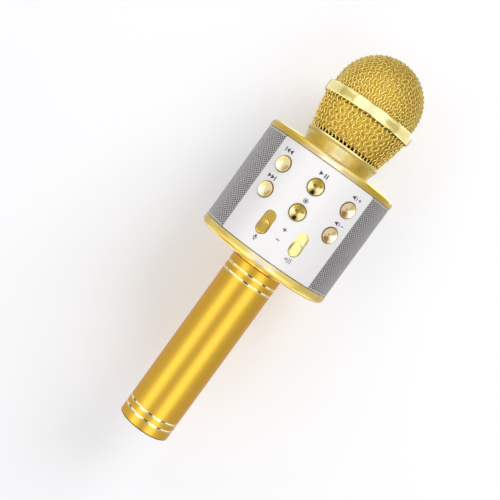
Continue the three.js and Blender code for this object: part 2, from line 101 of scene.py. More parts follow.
def rounded(profile, radius, closed, steps=4):
    """Rounds the corners of a [r, z] or [r, z, corner radius] profile and adds support points beside each corner."""
    n = len(profile)
    pts = [np.array(p[:2], float) for p in profile]
    rad = [p[2] if len(p) > 2 else radius for p in profile]
    out = []
    for i in range(n):
        if not closed and i in (0, n - 1):
            out.append(pts[i])
            continue
        a, p, b = pts[i - 1], pts[i], pts[(i + 1) % n]
        da, db = a - p, b - p
        la, lb = np.linalg.norm(da), np.linalg.norm(db)
        if la < 1e-6 or lb < 1e-6:
            continue
        da, db = da / la, db / lb
        cosine = float(np.clip(da @ db, -1, 1))
        ang = math.acos(cosine)
        if rad[i] <= 0 or ang > math.radians(172):
            out.append(p)
            continue
        t = min(rad[i] / math.tan(ang / 2), 0.45 * la, 0.45 * lb)
        r = t * math.tan(ang / 2)
        centre = p + (da + db) / np.linalg.norm(da + db) * (r / math.sin(ang / 2))
        s, e = p + da * t, p + db * t
        a0 = math.atan2(*(s - centre)[::-1])
        a1 = math.atan2(*(e - centre)[::-1])
        d = (a1 - a0 + PI) % (2 * PI) - PI
        k = max(2, int(round(steps * abs(d) / (PI / 2))) + 1)
        for j in range(k + 1):
            out.append(centre + r * np.array([math.cos(a0 + d * j / k), math.sin(a0 + d * j / k)]))
    res = []
    m = len(out)
    for i in range(m):
        res.append(out[i])
        if i == m - 1 and not closed:
            break
        q = out[(i + 1) % m]
        length = np.linalg.norm(q - out[i])
        if length > 0.9:
            u = (q - out[i]) / length
            res.append(out[i] + u * 0.15)
            k = int(length / 6)
            for j in range(1, k + 1):
                res.append(out[i] + u * (length * j / (k + 1)))
            res.append(q - u * 0.15)
    return res


def lathe_grid(pts, seg, closed, shape=None):
    """Vertices and faces of a profile turned about +Z. shape(angle array, r, z) may change the radius of each ring."""
    ang = np.arange(seg) * 2 * PI / seg  # from -Y towards +X
    verts, rings = [], []
    for r, z in pts:
        if r < 1e-6:
            rings.append([len(verts)])
            verts.append((0.0, 0.0, z))
        else:
            rr = np.full(seg, r) if shape is None else shape(ang, r, z)
            rings.append(list(range(len(verts), len(verts) + seg)))
            verts.extend(zip(rr * np.sin(ang), -rr * np.cos(ang), [z] * seg))
    faces = []
    count = len(rings)
    for i in range(count if closed else count - 1):
        a, b = rings[i], rings[(i + 1) % count]
        if len(a) == 1 and len(b) == 1:
            continue
        for k in range(seg):
            k2 = (k + 1) % seg
            if len(a) == 1:
                faces.append([a[0], b[k2], b[k]])
            elif len(b) == 1:
                faces.append([a[k], a[k2], b[0]])
            else:
                faces.append([a[k], a[k2], b[k2], b[k]])
    return np.array(verts), faces


def lathe(name, profile, material, body, replaces=None, seg=128, radius=0.25, steps=4, sharp=32, shape=None, extra=None, matrix=None, mats=None, paint=None):
    closed = profile[0][0] > 1e-9 or profile[-1][0] > 1e-9
    pts = rounded(profile, radius, closed, steps)
    if extra:
        pts = extra(pts)
    verts, faces = lathe_grid(pts, seg, closed, shape)
    ob = make(name, verts, faces, material, body, replaces or (), sharp, matrix, mats)
    if paint:
        centres = np.array([p.center for p in ob.data.polygons]) * 1000
        ob.data.polygons.foreach_set("material_index", paint(centres).astype(np.int32))
    return ob


LEAD = 2.0


def thread(z_from, z_to, r_wall, crest, z0, turns, step=0.1):
    """Adds fine rings to the wall at r_wall between two heights and raises one helical rib on it. Returns (extra, shape)."""

    def extra(pts):
        out = []
        n = len(pts)
        for i in range(n):
            out.append(pts[i])
            q = pts[(i + 1) % n]
            p = pts[i]
            if abs(p[0] - r_wall) < 1e-3 and abs(q[0] - r_wall) < 1e-3 and abs(q[1] - p[1]) > 0.3:
                k = int(abs(q[1] - p[1]) / step)
                for j in range(1, k):
                    out.append(np.array([r_wall, p[1] + (q[1] - p[1]) * j / k]))
        return out

    def shape(ang, r, z):
        if abs(r - r_wall) > 1e-3:
            return np.full(len(ang), r)
        rise = np.zeros(len(ang))
        for n in range(-1, int(turns) + 2):
            t = ang / (2 * PI) + n
            dz = np.abs(z - (z0 + LEAD * t))
            rib = np.clip((0.40 - dz) / 0.2, 0, 1)
            rib = rib * rib * (3 - 2 * rib)
            fade = np.clip(t / 0.1, 0, 1) * np.clip((turns - t) / 0.1, 0, 1)
            rise = np.maximum(rise, rib * fade)
        return r + (crest - r_wall) * rise

    return extra, shape


def drum_matrix(angle, z):
    a = math.radians(angle)
    return Matrix(
        (
            (math.cos(a), 0, math.sin(a), 0),
            (math.sin(a), 0, -math.cos(a), 0),
            (0, 1, 0, z / 1000),
            (0, 0, 0, 1),
        )
    )


def wrap(s, z, r, R):
    """Point at arc length s along a cylinder of radius R (s measured at R) and height z, put at radius r."""
    a = np.asarray(s) / R
    return np.stack([np.asarray(r) * np.sin(a), -np.asarray(r) * np.cos(a), np.asarray(z) * np.ones_like(a)], -1)


# ============================================================ node helpers
class Nodes:
    def __init__(self, tree):
        self.t, self.n, self.l = tree, tree.nodes, tree.links
        self.n.clear()

    def new(self, kind, **props):
        nd = self.n.new(kind)
        for k, v in props.items():
            setattr(nd, k, v)
        return nd

    def put(self, nd, key, value):
        s = nd.inputs[key]
        if hasattr(value, "links"):
            self.l.new(value, s)
        elif isinstance(value, (tuple, list)) and len(value) == 3 and s.type == "RGBA":
            s.default_value = (*value, 1)
        else:
            s.default_value = value

    def math(self, op, a, b=0.0, c=None, clamp=False):
        nd = self.new("ShaderNodeMath", operation=op, use_clamp=clamp)
        self.put(nd, 0, a)
        self.put(nd, 1, b)
        if c is not None:
            self.put(nd, 2, c)
        return nd.outputs[0]

    def smooth(self, x, lo, hi, a=0.0, b=1.0):
        nd = self.new("ShaderNodeMapRange", interpolation_type="SMOOTHSTEP")
        self.put(nd, "Value", x)
        for k, v in (("From Min", lo), ("From Max", hi), ("To Min", a), ("To Max", b)):
            nd.inputs[k].default_value = v
        return nd.outputs["Result"]

    def window(self, x, lo, hi, soft):
        """1 between lo and hi, falling to 0 over soft outside the edges' middle."""
        up = self.smooth(x, lo - soft, lo + soft)
        down = self.smooth(x, hi - soft, hi + soft, 1.0, 0.0)
        return self.math("MULTIPLY", up, down)

    def coords(self, scale=1000.0, stretch=(1, 1, 1)):
        tc = self.new("ShaderNodeTexCoord")
        mp = self.new("ShaderNodeMapping")
        self.l.new(tc.outputs["Object"], mp.inputs["Vector"])
        mp.inputs["Scale"].default_value = tuple(scale * s for s in stretch)
        return mp.outputs["Vector"]

    def noise(self, vec, scale, detail=2.0, rough=0.5):
        nd = self.new("ShaderNodeTexNoise")
        self.put(nd, "Vector", vec)
        nd.inputs["Scale"].default_value = scale
        nd.inputs["Detail"].default_value = detail
        nd.inputs["Roughness"].default_value = rough
        return nd.outputs["Fac"]

    def mix(self, fac, a, b, kind="MIX"):
        nd = self.new("ShaderNodeMix", data_type="RGBA", blend_type=kind)
        self.put(nd, "Factor", fac)
        for key, v in ((6, a), (7, b)):
            self.put(nd, key, v)
        return nd.outputs[2]

    def ramp(self, fac, stops):
        nd = self.new("ShaderNodeValToRGB")
        self.put(nd, "Fac", fac)
        e = nd.color_ramp.elements
        while len(e) < len(stops):
            e.new(0.5)
        for el, (p, c) in zip(e, stops):
            el.position = p
            el.color = (*c, 1)
        return nd.outputs["Color"]

    def bump(self, height, strength, distance, normal=None):
        nd = self.new("ShaderNodeBump")
        self.put(nd, "Height", height)
        nd.inputs["Strength"].default_value = strength
        nd.inputs["Distance"].default_value = distance
        if normal is not None:
            self.l.new(normal, nd.inputs["Normal"])
        return nd.outputs["Normal"]

    def facing(self, blend=0.5):
        nd = self.new("ShaderNodeLayerWeight")
        nd.inputs["Blend"].default_value = blend
        return nd.outputs["Facing"]

    def principled(self, **inputs):
        nd = self.new("ShaderNodeBsdfPrincipled")
        for k, v in inputs.items():
            self.put(nd, k.replace("_", " "), v)
        return nd

    def finish(self, shader):
        out = self.new("ShaderNodeOutputMaterial")
        self.l.new(shader.outputs[0] if hasattr(shader, "outputs") else shader, out.inputs["Surface"])


def material(name, build):
    m = bpy.data.materials.new(name)
    m.use_nodes = True
    build(Nodes(m.node_tree))
    return m


def gold(name, tint, edge, rough, coat=0.0, coat_rough=0.1, grain=0.35, bump=0.02, turned=0.0, aniso=0.0, radial=False):
    """Plated or anodised gold: tint at the centre, edge towards grazing, fine surface grain, optional turned rings."""

    def build(n):
        v = n.coords()
        fine = n.noise(v, 6.0, 3.0, 0.6)
        broad = n.noise(v, 0.09, 2.0)
        f = n.facing(0.45)
        c = n.mix(n.smooth(f, 0.15, 0.95), tint, edge)
        c = n.mix(n.math("MULTIPLY", broad, 0.25), c, tuple(0.82 * x for x in tint))
        r = n.math("ADD", n.math("MULTIPLY", n.math("SUBTRACT", fine, 0.5), grain * rough), rough)
        r = n.math("ADD", r, n.math("MULTIPLY", n.math("SUBTRACT", broad, 0.5), 0.12 * rough))
        normal = n.bump(fine, bump, 0.00005)
        if turned:
            sep = n.new("ShaderNodeSeparateXYZ")
            n.l.new(v, sep.inputs[0])
            if radial:
                d = n.math("SQRT", n.math("ADD", n.math("MULTIPLY", sep.outputs[0], sep.outputs[0]), n.math("MULTIPLY", sep.outputs[1], sep.outputs[1])))
            else:
                d = sep.outputs[2]
            comb = n.new("ShaderNodeCombineXYZ")
            n.put(comb, 0, n.math("MULTIPLY", d, 7.0))
            rings = n.noise(comb.outputs[0], 1.0, 3.0, 0.7)
            normal = n.bump(rings, turned, 0.00005, normal)
        b = n.principled(Base_Color=c, Metallic=1.0, Roughness=r, Normal=normal, Coat_Weight=coat, Coat_Roughness=coat_rough)
        if aniso:
            tg = n.new("ShaderNodeTangent", direction_type="RADIAL", axis="Z")
            n.put(b, "Anisotropic", aniso)
            b.inputs["Anisotropic Rotation"].default_value = 0.25
            n.l.new(tg.outputs[0], b.inputs["Tangent"])
        n.finish(b)

    return material(name, build)


def speckled(name, a, b, rough, metallic=0.0, scale=3.0, bump=0.1, detail=3.0, coat=0.0, stretch=(1, 1, 1), sheen=0.0):
    """Moulded plastic, rubber, paper or plain metal: two close colours in a fine mottle, varied roughness and a light bump."""

    def build(n):
        v = n.coords(stretch=stretch)
        fine = n.noise(v, scale, detail, 0.6)
        broad = n.noise(v, scale * 0.07, 2.0)
        c = n.mix(fine, a, b)
        c = n.mix(n.math("MULTIPLY", broad, 0.3), c, a)
        r = n.math("ADD", n.math("MULTIPLY", n.math("SUBTRACT", fine, 0.5), 0.3 * rough), rough)
        n.finish(n.principled(Base_Color=c, Metallic=metallic, Roughness=r, Normal=n.bump(fine, bump, 0.0001), Coat_Weight=coat, Coat_Roughness=0.15, Sheen_Weight=sheen))

    return material(name, build)


GOLD_SATIN = gold("anodised_gold", (0.91, 0.55, 0.060), (0.88, 0.38, 0.004), 0.36, coat=0.15, coat_rough=0.38, bump=0.12)
GOLD_CUT = gold("bright_cut_gold", (0.98, 0.84, 0.50), (0.97, 0.78, 0.42), 0.10, bump=0.01)
# painted dark reflection: a near-black gold for the handle's bottom chamfer, standing in for the dark it reflects
GOLD_PAINTED_DARK_REFLECTION = gold("edge_gold_painted_reflection", (0.16, 0.09, 0.015), (0.12, 0.06, 0.01), 0.4)
GOLD_NECK = gold("neck_gold", (0.95, 0.86, 0.42), (0.90, 0.72, 0.16), 0.21, coat=0.2, coat_rough=0.15, bump=0.008)
GOLD_GLOSS = gold("bright_gold", (0.90, 0.63, 0.11), (0.88, 0.60, 0.08), 0.25, coat=0.2, coat_rough=0.1, bump=0.015, turned=0.03)
GOLD_BAND = gold("band_gold", (0.95, 0.77, 0.24), (0.96, 0.80, 0.30), 0.16, coat=0.2, coat_rough=0.08, bump=0.01)
GOLD_BEAD = gold("bead_gold", (0.97, 0.82, 0.36), (0.96, 0.76, 0.28), 0.30, coat=0.2, coat_rough=0.08, bump=0.01)


def spun_with_painted_reflections(name, base, painted_sectors, painted_spots=(), painted_rim_shade=(0.40, 0.29, 0.07)):
    """Spun gold button tops with their reflections painted into the colour: each sector (angle clockwise from up, half
    width, softness, start radius, colour) is a painted highlight or a painted shade, each spot (x and y offset, x and y
    size, colour) is a painted dark reflection, and the ring at the edge is painted shade; radii in parts of the edge
    radius.
    """

    def build(n):
        v = n.coords()
        fine = n.noise(v, 6.0, 3.0, 0.6)
        sep = n.new("ShaderNodeSeparateXYZ")
        n.l.new(v, sep.inputs[0])
        x, y = sep.outputs[0], sep.outputs[1]
        rr = n.math("DIVIDE", n.math("SQRT", n.math("ADD", n.math("MULTIPLY", x, x), n.math("MULTIPLY", y, y))), 4.5)
        ang = n.math("MULTIPLY", n.math("ARCTAN2", x, y), 180 / PI)
        ang = n.math("ADD", ang, n.math("MULTIPLY", n.math("SUBTRACT", n.noise(v, 0.35, 2.0), 0.5), 30.0))
        c = n.mix(n.math("MULTIPLY", fine, 0.3), base, tuple(0.85 * q for q in base))
        # painted highlight and painted shade wedges, as the turned face would reflect the room
        for a0, half, soft, r0, colour in painted_sectors:
            d = n.math("ABSOLUTE", n.math("SUBTRACT", n.math("FLOORED_MODULO", n.math("ADD", ang, 540.0 - a0), 360.0), 180.0))
            m = n.math("MULTIPLY", n.smooth(d, half - soft, half + soft, 1.0, 0.0), n.smooth(rr, r0 - 0.12, r0 + 0.12))
            c = n.mix(m, c, colour)
        # painted dark reflection spots
        for sx, sy, wx, wy, colour in painted_spots:
            ex_ = n.math("DIVIDE", n.math("SUBTRACT", n.math("DIVIDE", x, 4.5), sx), wx)
            ey_ = n.math("DIVIDE", n.math("SUBTRACT", n.math("DIVIDE", y, 4.5), sy), wy)
            d = n.math("SQRT", n.math("ADD", n.math("MULTIPLY", ex_, ex_), n.math("MULTIPLY", ey_, ey_)))
            c = n.mix(n.smooth(d, 0.4, 1.1, 1.0, 0.0), c, colour)
        # painted shade: a darker olive ring at the edge of the face
        c = n.mix(n.smooth(rr, 0.88, 0.95), c, painted_rim_shade)
        comb = n.new("ShaderNodeCombineXYZ")
        n.put(comb, 0, n.math("MULTIPLY", rr, 30.0))
        rings = n.noise(comb.outputs[0], 1.0, 3.0, 0.7)
        normal = n.bump(rings, 0.12, 0.00005, n.bump(fine, 0.02, 0.00005))
        b = n.principled(Base_Color=c, Metallic=1.0, Roughness=n.math("ADD", n.math("MULTIPLY", fine, 0.08), 0.27), Normal=normal, Coat_Weight=0.2, Coat_Roughness=0.1)
        tg = n.new("ShaderNodeTangent", direction_type="RADIAL", axis="Z")
        n.put(b, "Anisotropic", 0.7)
        b.inputs["Anisotropic Rotation"].default_value = 0.25
        n.l.new(tg.outputs[0], b.inputs["Tangent"])
        n.finish(b)

    return material(name, build)


# painted highlight and painted shade colours for the centre buttons' wedges
PAINTED_HIGHLIGHT, PAINTED_SHADE_OLIVE, PAINTED_SHADE_DEEP = (0.99, 0.89, 0.52), (0.52, 0.37, 0.06), (0.030, 0.018, 0.0)
# three copies of the button gold, one for each column of buttons, each with its own painted highlights and painted
# shade for how the light falls there
BUTTON_CENTRE_PAINTED_LIGHT = spun_with_painted_reflections(
    "button_gold_centre_painted_light", (0.70, 0.53, 0.13),
    [(0, 62, 22, 0.1, PAINTED_SHADE_OLIVE), (-106, 36, 12, 0.2, PAINTED_HIGHLIGHT), (106, 36, 12, 0.2, PAINTED_HIGHLIGHT), (180, 19, 6, 0.42, PAINTED_SHADE_DEEP)],
    [(-0.26, 0.10, 0.17, 0.22, (0.12, 0.08, 0.01)), (0.50, 0.34, 0.14, 0.10, (0.20, 0.13, 0.01)), (-0.02, 0.05, 0.10, 0.34, (0.25, 0.17, 0.02))],
)
BUTTON_LEFT_PAINTED_LIGHT = spun_with_painted_reflections(
    "button_gold_left_painted_light", (0.92, 0.80, 0.45),
    [(-45, 34, 18, 0.3, (0.78, 0.61, 0.25)), (118, 40, 14, 0.45, (0.64, 0.46, 0.20)), (200, 42, 18, 0.2, (1.0, 0.95, 0.74)), (50, 20, 14, 0.2, (0.95, 0.84, 0.52))],
    painted_rim_shade=(0.50, 0.36, 0.12),
)
BUTTON_RIGHT_PAINTED_LIGHT = spun_with_painted_reflections(
    "button_gold_right_painted_light", (0.84, 0.66, 0.38),
    [(30, 26, 8, 0.1, (0.60, 0.41, 0.20)), (100, 40, 10, 0.05, (1.0, 0.92, 0.70)), (204, 30, 8, 0.3, (0.42, 0.24, 0.09)), (-60, 46, 20, 0.2, (0.92, 0.76, 0.48))],
    [(-0.28, 0.04, 0.20, 0.07, (0.10, 0.06, 0.01))],
    painted_rim_shade=(0.46, 0.33, 0.12),
)
GOLD_SLIDER = gold("slider_gold", (0.93, 0.62, 0.13), (0.74, 0.47, 0.08), 0.20, coat=0.2, coat_rough=0.1, bump=0.02)
# painted light: the same slider gold made paler for the right-hand knob, standing in for the brighter light that falls
# on it
GOLD_SLIDER_PAINTED_LIT = gold("slider_gold_painted_lit", (0.96, 0.87, 0.38), (0.86, 0.70, 0.20), 0.20, coat=0.2, coat_rough=0.1, bump=0.02)
BLACK_ABS = speckled("black_plastic", (0.016, 0.016, 0.018), (0.035, 0.035, 0.037), 0.42, scale=4.0, bump=0.25)
RUBBER = speckled("rubber", (0.018, 0.018, 0.018), (0.04, 0.04, 0.042), 0.75, scale=5.0, bump=0.3)
STEEL = speckled("steel", (0.50, 0.51, 0.53), (0.66, 0.66, 0.68), 0.32, metallic=1.0, scale=2.0, bump=0.05, stretch=(1, 1, 0.15))
NICKEL = speckled("nickel", (0.62, 0.61, 0.58), (0.74, 0.73, 0.70), 0.22, metallic=1.0, scale=3.0, bump=0.03)
BRASS = speckled("brass", (0.62, 0.42, 0.14), (0.78, 0.56, 0.24), 0.28, metallic=1.0, scale=3.0, bump=0.04)
SEAL = speckled("seal_amber", (0.60, 0.45, 0.14), (0.68, 0.52, 0.18), 0.6, scale=5.0, bump=0.2)
CONE = speckled("cone_black", (0.02, 0.02, 0.02), (0.05, 0.048, 0.045), 0.85, scale=2.5, bump=0.5, detail=6.0, sheen=0.3)
INK = speckled("print_grey", (0.055, 0.053, 0.058), (0.085, 0.082, 0.088), 0.5, scale=8.0, bump=0.05)


def build_wire(n):
    at = n.new("ShaderNodeAttribute", attribute_name="painted_wire_light")
    v = n.coords()
    fine = n.noise(v, 2.2, 3.0, 0.6)
    broad = n.noise(v, 0.16, 2.0)
    f = n.facing(0.5)
    c = n.mix(n.smooth(f, 0.1, 0.9), (0.92, 0.70, 0.17), (0.62, 0.33, 0.06))
    c = n.mix(n.smooth(broad, 0.42, 0.62), c, (0.86, 0.68, 0.15))
    c = n.mix(n.smooth(fine, 0.55, 0.8), c, (0.50, 0.36, 0.07))
    # painted shade: the stored attribute mixes the crosswise wires towards a darker olive, for the light they don't
    # catch
    c = n.mix(n.smooth(at.outputs["Fac"], 0.25, 0.85), n.mix(0.62, c, (0.42, 0.30, 0.05)), c)
    r = n.math("ADD", n.math("MULTIPLY", fine, 0.12), 0.17)
    n.finish(n.principled(Base_Color=c, Metallic=1.0, Roughness=r, Normal=n.bump(fine, 0.12, 0.00005), Coat_Weight=0.4, Coat_Roughness=0.12))


WIRE = material("gold_mesh", build_wire)


def build_foam(n):
    v = n.coords()
    vor = n.new("ShaderNodeTexVoronoi", feature="F1")
    n.put(vor, "Vector", v)
    vor.inputs["Scale"].default_value = 1.6
    d = vor.outputs["Distance"]
    fine = n.noise(v, 2.4, 4.0, 0.65)
    sep = n.new("ShaderNodeSeparateXYZ")
    n.l.new(v, sep.inputs[0])
    c = n.mix(n.smooth(d, 0.1, 0.7), (0.66, 0.46, 0.060), (0.94, 0.70, 0.115))
    c = n.mix(n.math("MULTIPLY", fine, 0.6), c, (0.95, 0.68, 0.10))
    # painted shade: near-black bands of foam just above the base ring and just below the band, where those parts shade
    # it
    dark = n.math("MAXIMUM", n.smooth(sep.outputs[2], 195.2, 196.4, 1.0, 0.0), n.math("MULTIPLY", n.window(sep.outputs[2], 212.7, 214.6, 0.35), 0.75))
    c = n.mix(dark, c, (0.010, 0.007, 0.003))
    n.finish(n.principled(Base_Color=c, Roughness=0.92, Normal=n.bump(d, 0.7, 0.0004), Sheen_Weight=0.2))


FOAM = material("foam", build_foam)


def build_panel(n):
    v = n.coords(stretch=(1, 1, 0.04))
    streak = n.noise(v, 5.0, 3.0, 0.6)
    fine = n.noise(n.coords(), 4.0, 2.0)
    c = n.mix(streak, (0.86, 0.845, 0.85), (0.92, 0.905, 0.905))
    r = n.math("ADD", n.math("MULTIPLY", fine, 0.1), 0.30)
    n.finish(n.principled(Base_Color=c, Metallic=0.25, Roughness=r, Normal=n.bump(streak, 0.04, 0.00005), Coat_Weight=0.2, Coat_Roughness=0.25))


PANEL = material("pearl_panel", build_panel)


def build_grille(n):
    v = n.coords()
    fine = n.noise(v, 3.0, 3.0, 0.6)
    broad = n.noise(v, 0.12, 2.0)
    c = n.mix(fine, (0.70, 0.685, 0.695), (0.82, 0.80, 0.81))
    c = n.mix(n.math("MULTIPLY", broad, 0.4), c, (0.72, 0.675, 0.695))
    r = n.math("ADD", n.math("MULTIPLY", fine, 0.15), 0.38)
    n.finish(n.principled(Base_Color=c, Metallic=0.75, Roughness=r, Normal=n.bump(fine, 0.12, 0.00006)))


GRILLE = material("grille_grey", build_grille)


def build_board(n):
    v = n.coords()
    br = n.new("ShaderNodeTexBrick", offset=0.37, squash=0.6, squash_frequency=3)
    n.put(br, "Vector", v)
    for k, val in (("Scale", 0.35), ("Mortar Size", 0.03), ("Brick Width", 0.8), ("Row Height", 0.3)):
        br.inputs[k].default_value = val
    n.put(br, "Color1", (0.012, 0.12, 0.045))
    n.put(br, "Color2", (0.018, 0.16, 0.06))
    n.put(br, "Mortar", (0.05, 0.28, 0.11))
    fine = n.noise(v, 5.0, 2.0)
    c = n.mix(n.math("MULTIPLY", fine, 0.3), br.outputs["Color"], (0.01, 0.09, 0.035))
    n.finish(n.principled(Base_Color=c, Roughness=0.38, Normal=n.bump(br.outputs["Fac"], 0.2, 0.00005), Coat_Weight=0.3))


BOARD = material("board_green", build_board)


def build_cell(n):
    v = n.coords()
    sep = n.new("ShaderNodeSeparateXYZ")
    n.l.new(v, sep.inputs[0])
    fine = n.noise(v, 3.0, 3.0)
    z = sep.outputs[2]
    c = n.mix(fine, (0.02, 0.13, 0.42), (0.03, 0.18, 0.50))
    c = n.mix(n.window(z, 84, 89, 0.2), c, (0.75, 0.76, 0.78))
    c = n.mix(n.smooth(z, 93.4, 93.6), c, (0.6, 0.6, 0.6))
    n.finish(n.principled(Base_Color=c, Roughness=0.3, Normal=n.bump(fine, 0.06, 0.0001), Coat_Weight=0.6, Coat_Roughness=0.12))


CELL = material("cell_wrap", build_cell)

# ============================================================ handle
GROOVES = [6.55, 11.05, 101.4, 105.8]
tube = [[14.4, 0.2], [15.1, 0.2], [15.6, 0.5], [15.8, 1.1]]
for zg in GROOVES:
    tube += [[15.8, zg - 0.72, 0.03], [15.46, zg, 0.05], [15.8, zg + 0.72, 0.03]]
tube += [[15.8, 110.9], [15.4, 111.4], [14.4, 111.4]]


def groove_faces(c):
    rad = np.hypot(c[:, 0], c[:, 1])
    hit = np.zeros(len(c), bool)
    for zg in GROOVES:
        hit |= (np.abs(c[:, 2] - zg) < 0.72) & (rad > 15.35) & (rad < 15.797)
    return hit


def tube_paint(c):
    rad = np.hypot(c[:, 0], c[:, 1])
    # slot 2 on the bottom chamfer is the painted dark reflection; slot 1 is the bright-cut grooves
    return np.where((c[:, 2] < 1.05) & (rad > 15.0), 2, groove_faces(c).astype(int))


lathe("handle_tube_shell", tube, GOLD_SATIN, "handle", "handle_tube", seg=160, radius=0.15, mats=[GOLD_CUT, GOLD_PAINTED_DARK_REFLECTION], paint=tube_paint)
lathe(
    "handle_end_plug_shell",
    [[0, 0.35], [3.0, 0.35], [3.3, 0], [13.6, 0, 0.4], [14.0, 0.5], [14.0, 5.4], [12.6, 5.4], [12.6, 3.2], [0, 3.2]],
    BLACK_ABS, "handle", "handle_end_plug", radius=0.15,
)
lathe("battery_sleeve_tube", [[9.7, 5.8], [13.9, 5.8], [13.9, 103.2], [9.7, 103.2]], BLACK_ABS, "handle", "battery_sleeve", radius=0.3, seg=96)
lathe(
    "battery_cell_can",
    [[0, 28.5], [8.4, 28.5], [8.8, 28.5], [9.2, 29.1, 0.4], [9.2, 92.6, 0.4], [8.9, 93.0, 0.2], [8.6, 93.4], [7.8, 93.6], [3.2, 93.6], [3.0, 94.8], [2.6, 95.1], [0, 95.1]],
    CELL, "battery", "battery_cell", seg=96, radius=0.12,
)
ex, sh = thread(103.6, 111.2, 12.8, 12.1, 107.9, 1.25)
lathe("thread_insert_ring", [[12.8, 103.6], [14.0, 103.6], [14.0, 111.2], [12.8, 111.2]], NICKEL, "handle", "thread_insert", radius=0.12, extra=ex, shape=sh)

ex, sh = thread(104.2, 111.8, 11.8, 12.5, 104.9, 2.6)
lathe(
    "handle_socket_ring",
    [[9.8, 104.2], [11.8, 104.2, 0.3], [11.8, 111.8, 0.1], [16.9, 111.8], [17.2, 112.3], [17.2, 114.1], [16.9, 114.5], [9.8, 114.5]],
    GOLD_GLOSS, "root", "handle_socket", radius=0.15, extra=ex, shape=sh,
)
lathe("contact_carrier_cup", [[1.8, 96.4], [9.2, 96.4], [9.2, 100], [9.5, 104.4], [9.5, 113.6], [8, 113.6], [8, 98.4], [1.8, 98.4]], BLACK_ABS, "root", "contact_carrier", seg=96, radius=0.2)
lathe("positive_contact_rivet", [[0, 95.4], [4.5, 95.4], [4.5, 96.1], [1.5, 96.1], [1.5, 99.6], [0, 99.6]], BRASS, "root", "positive_contact", seg=64, radius=0.2)

# ============================================================ drum caps
lathe(
    "bottom_cap_shell",
    [[10, 114.6], [37.9, 114.6, 0.8], [39.5, 115.25, 0.9], [40.45, 116.3, 0.9], [40.8, 117.7, 0.8], [40.8, 120.2, 0.2], [39, 120.2, 0.2], [39, 116.6, 0.5], [10, 116.6, 0.2]],
    GOLD_GLOSS, "root", "bottom_cap", seg=192, radius=0.3, steps=6,
)
lathe(
    "top_cap_shell",
    [[12, 182.2], [39, 182.2, 0.4], [39, 179.9, 0.2], [40.8, 179.9, 0.2], [40.8, 181.9, 0.8], [40.45, 183.1, 0.9], [39.6, 183.85, 0.9], [38.2, 184.2, 0.8], [12, 184.2, 0.2]],
    GOLD_GLOSS, "root", "top_cap", seg=192, radius=0.3, steps=6,
)

# ============================================================ panels with holes, wrapped on the drum
R_SKIN, PANEL_T, HALF = 40.5, 1.4, 44.0


def circle_loop(s0, z0, r, n=40):
    def f(grow):
        t = np.arange(n) * 2 * PI / n
        return np.stack([s0 + (r + grow) * np.cos(t), z0 + (r + grow) * np.sin(t)], 1)

    return f


def round_rect_loop(s0, z0, w, h, r, per=6, along=1):
    """A rounded rectangle of full size w by h about s0, z0. Works as a pill when r is w / 2."""

    def f(grow):
        hw, hh, rr = w / 2 + grow, h / 2 + grow, max(r + grow, 1e-3)
        out = []
        for k, (sx, sz) in enumerate(((1, 1), (-1, 1), (-1, -1), (1, -1))):
            for i in range(per + 1):
                a = (k + i / per) * PI / 2
                out.append((s0 + sx * (hw - rr) + rr * math.cos(a), z0 + sz * (hh - rr) + rr * math.sin(a)))
        # extra points on the straight sides keep the curved sheet smooth
        res = []
        for i, p in enumerate(out):
            res.append(p)
            q = out[(i + 1) % len(out)]
            if (i + 1) % (per + 1) == 0:
                for j in range(1, along):
                    res.append((p[0] + (q[0] - p[0]) * j / along, p[1] + (q[1] - p[1]) * j / along))
        return np.array(res)

    return f


def inside(poly, pts):
    x, y = pts[:, 0][:, None], pts[:, 1][:, None]
    a, b = poly, np.roll(poly, -1, 0)
    cond = (a[:, 1] > y) != (b[:, 1] > y)
    with np.errstate(divide="ignore", invalid="ignore"):
        xs = (b[:, 0] - a[:, 0]) * (y - a[:, 1]) / (b[:, 1] - a[:, 1]) + a[:, 0]
    return (np.sum(cond & (x < xs), 1) % 2).astype(bool)


def near(poly, pts, d):
    a, b = poly, np.roll(poly, -1, 0)
    ab = b - a
    t = np.clip(((pts[:, None] - a) * ab).sum(-1) / (ab**2).sum(-1), 0, 1)
    return (np.linalg.norm(pts[:, None] - (a + t[..., None] * ab), axis=-1) < d).any(1)


def triangulate(loops, grid):
    """Triangles between an outline (loops[0]) and holes (loops[1:]), with the grid's points inside. Returns points and triangles."""
    outline = loops[0]
    lo, hi = outline.min(0), outline.max(0)
    gx = np.arange(lo[0] + grid / 2, hi[0], grid)
    gy = np.arange(lo[1] + grid / 2, hi[1], grid)
    g = np.array([(x + (grid / 2 if j % 2 else 0), y) for j, y in enumerate(gy) for x in gx])
    keep = inside(outline, g) & ~near(outline, g, 0.45 * grid)
    for h in loops[1:]:
        keep &= ~inside(h, g) & ~near(h, g, 0.45 * grid)
    g = g[keep]
    pts = np.concatenate([*loops, g])
    edges, start = [], 0
    for l in loops:
        k = len(l)
        edges += [(start + i, start + (i + 1) % k) for i in range(k)]
        start += k
    res = delaunay_2d_cdt([Vector(p) for p in pts], edges, [], 0, 1e-7)
    out_v = np.array([tuple(v) for v in res[0]])
    tri = np.array([f for f in res[2] if len(f) == 3])
    cen = out_v[tri].mean(1)
    ok = inside(outline, cen)
    for h in loops[1:]:
        ok &= ~inside(h, cen)
    tri = tri[ok]
    orig = res[3]  # original indices of each output vertex
    remap = {}
    for i, o in enumerate(orig):
        if o:
            remap[i] = o[0]
    if len(out_v) != len(pts) or len(remap) != len(pts):
        raise RuntimeError("panel triangulation changed its points")
    tri = np.vectorize(remap.get)(tri)
    return pts, tri


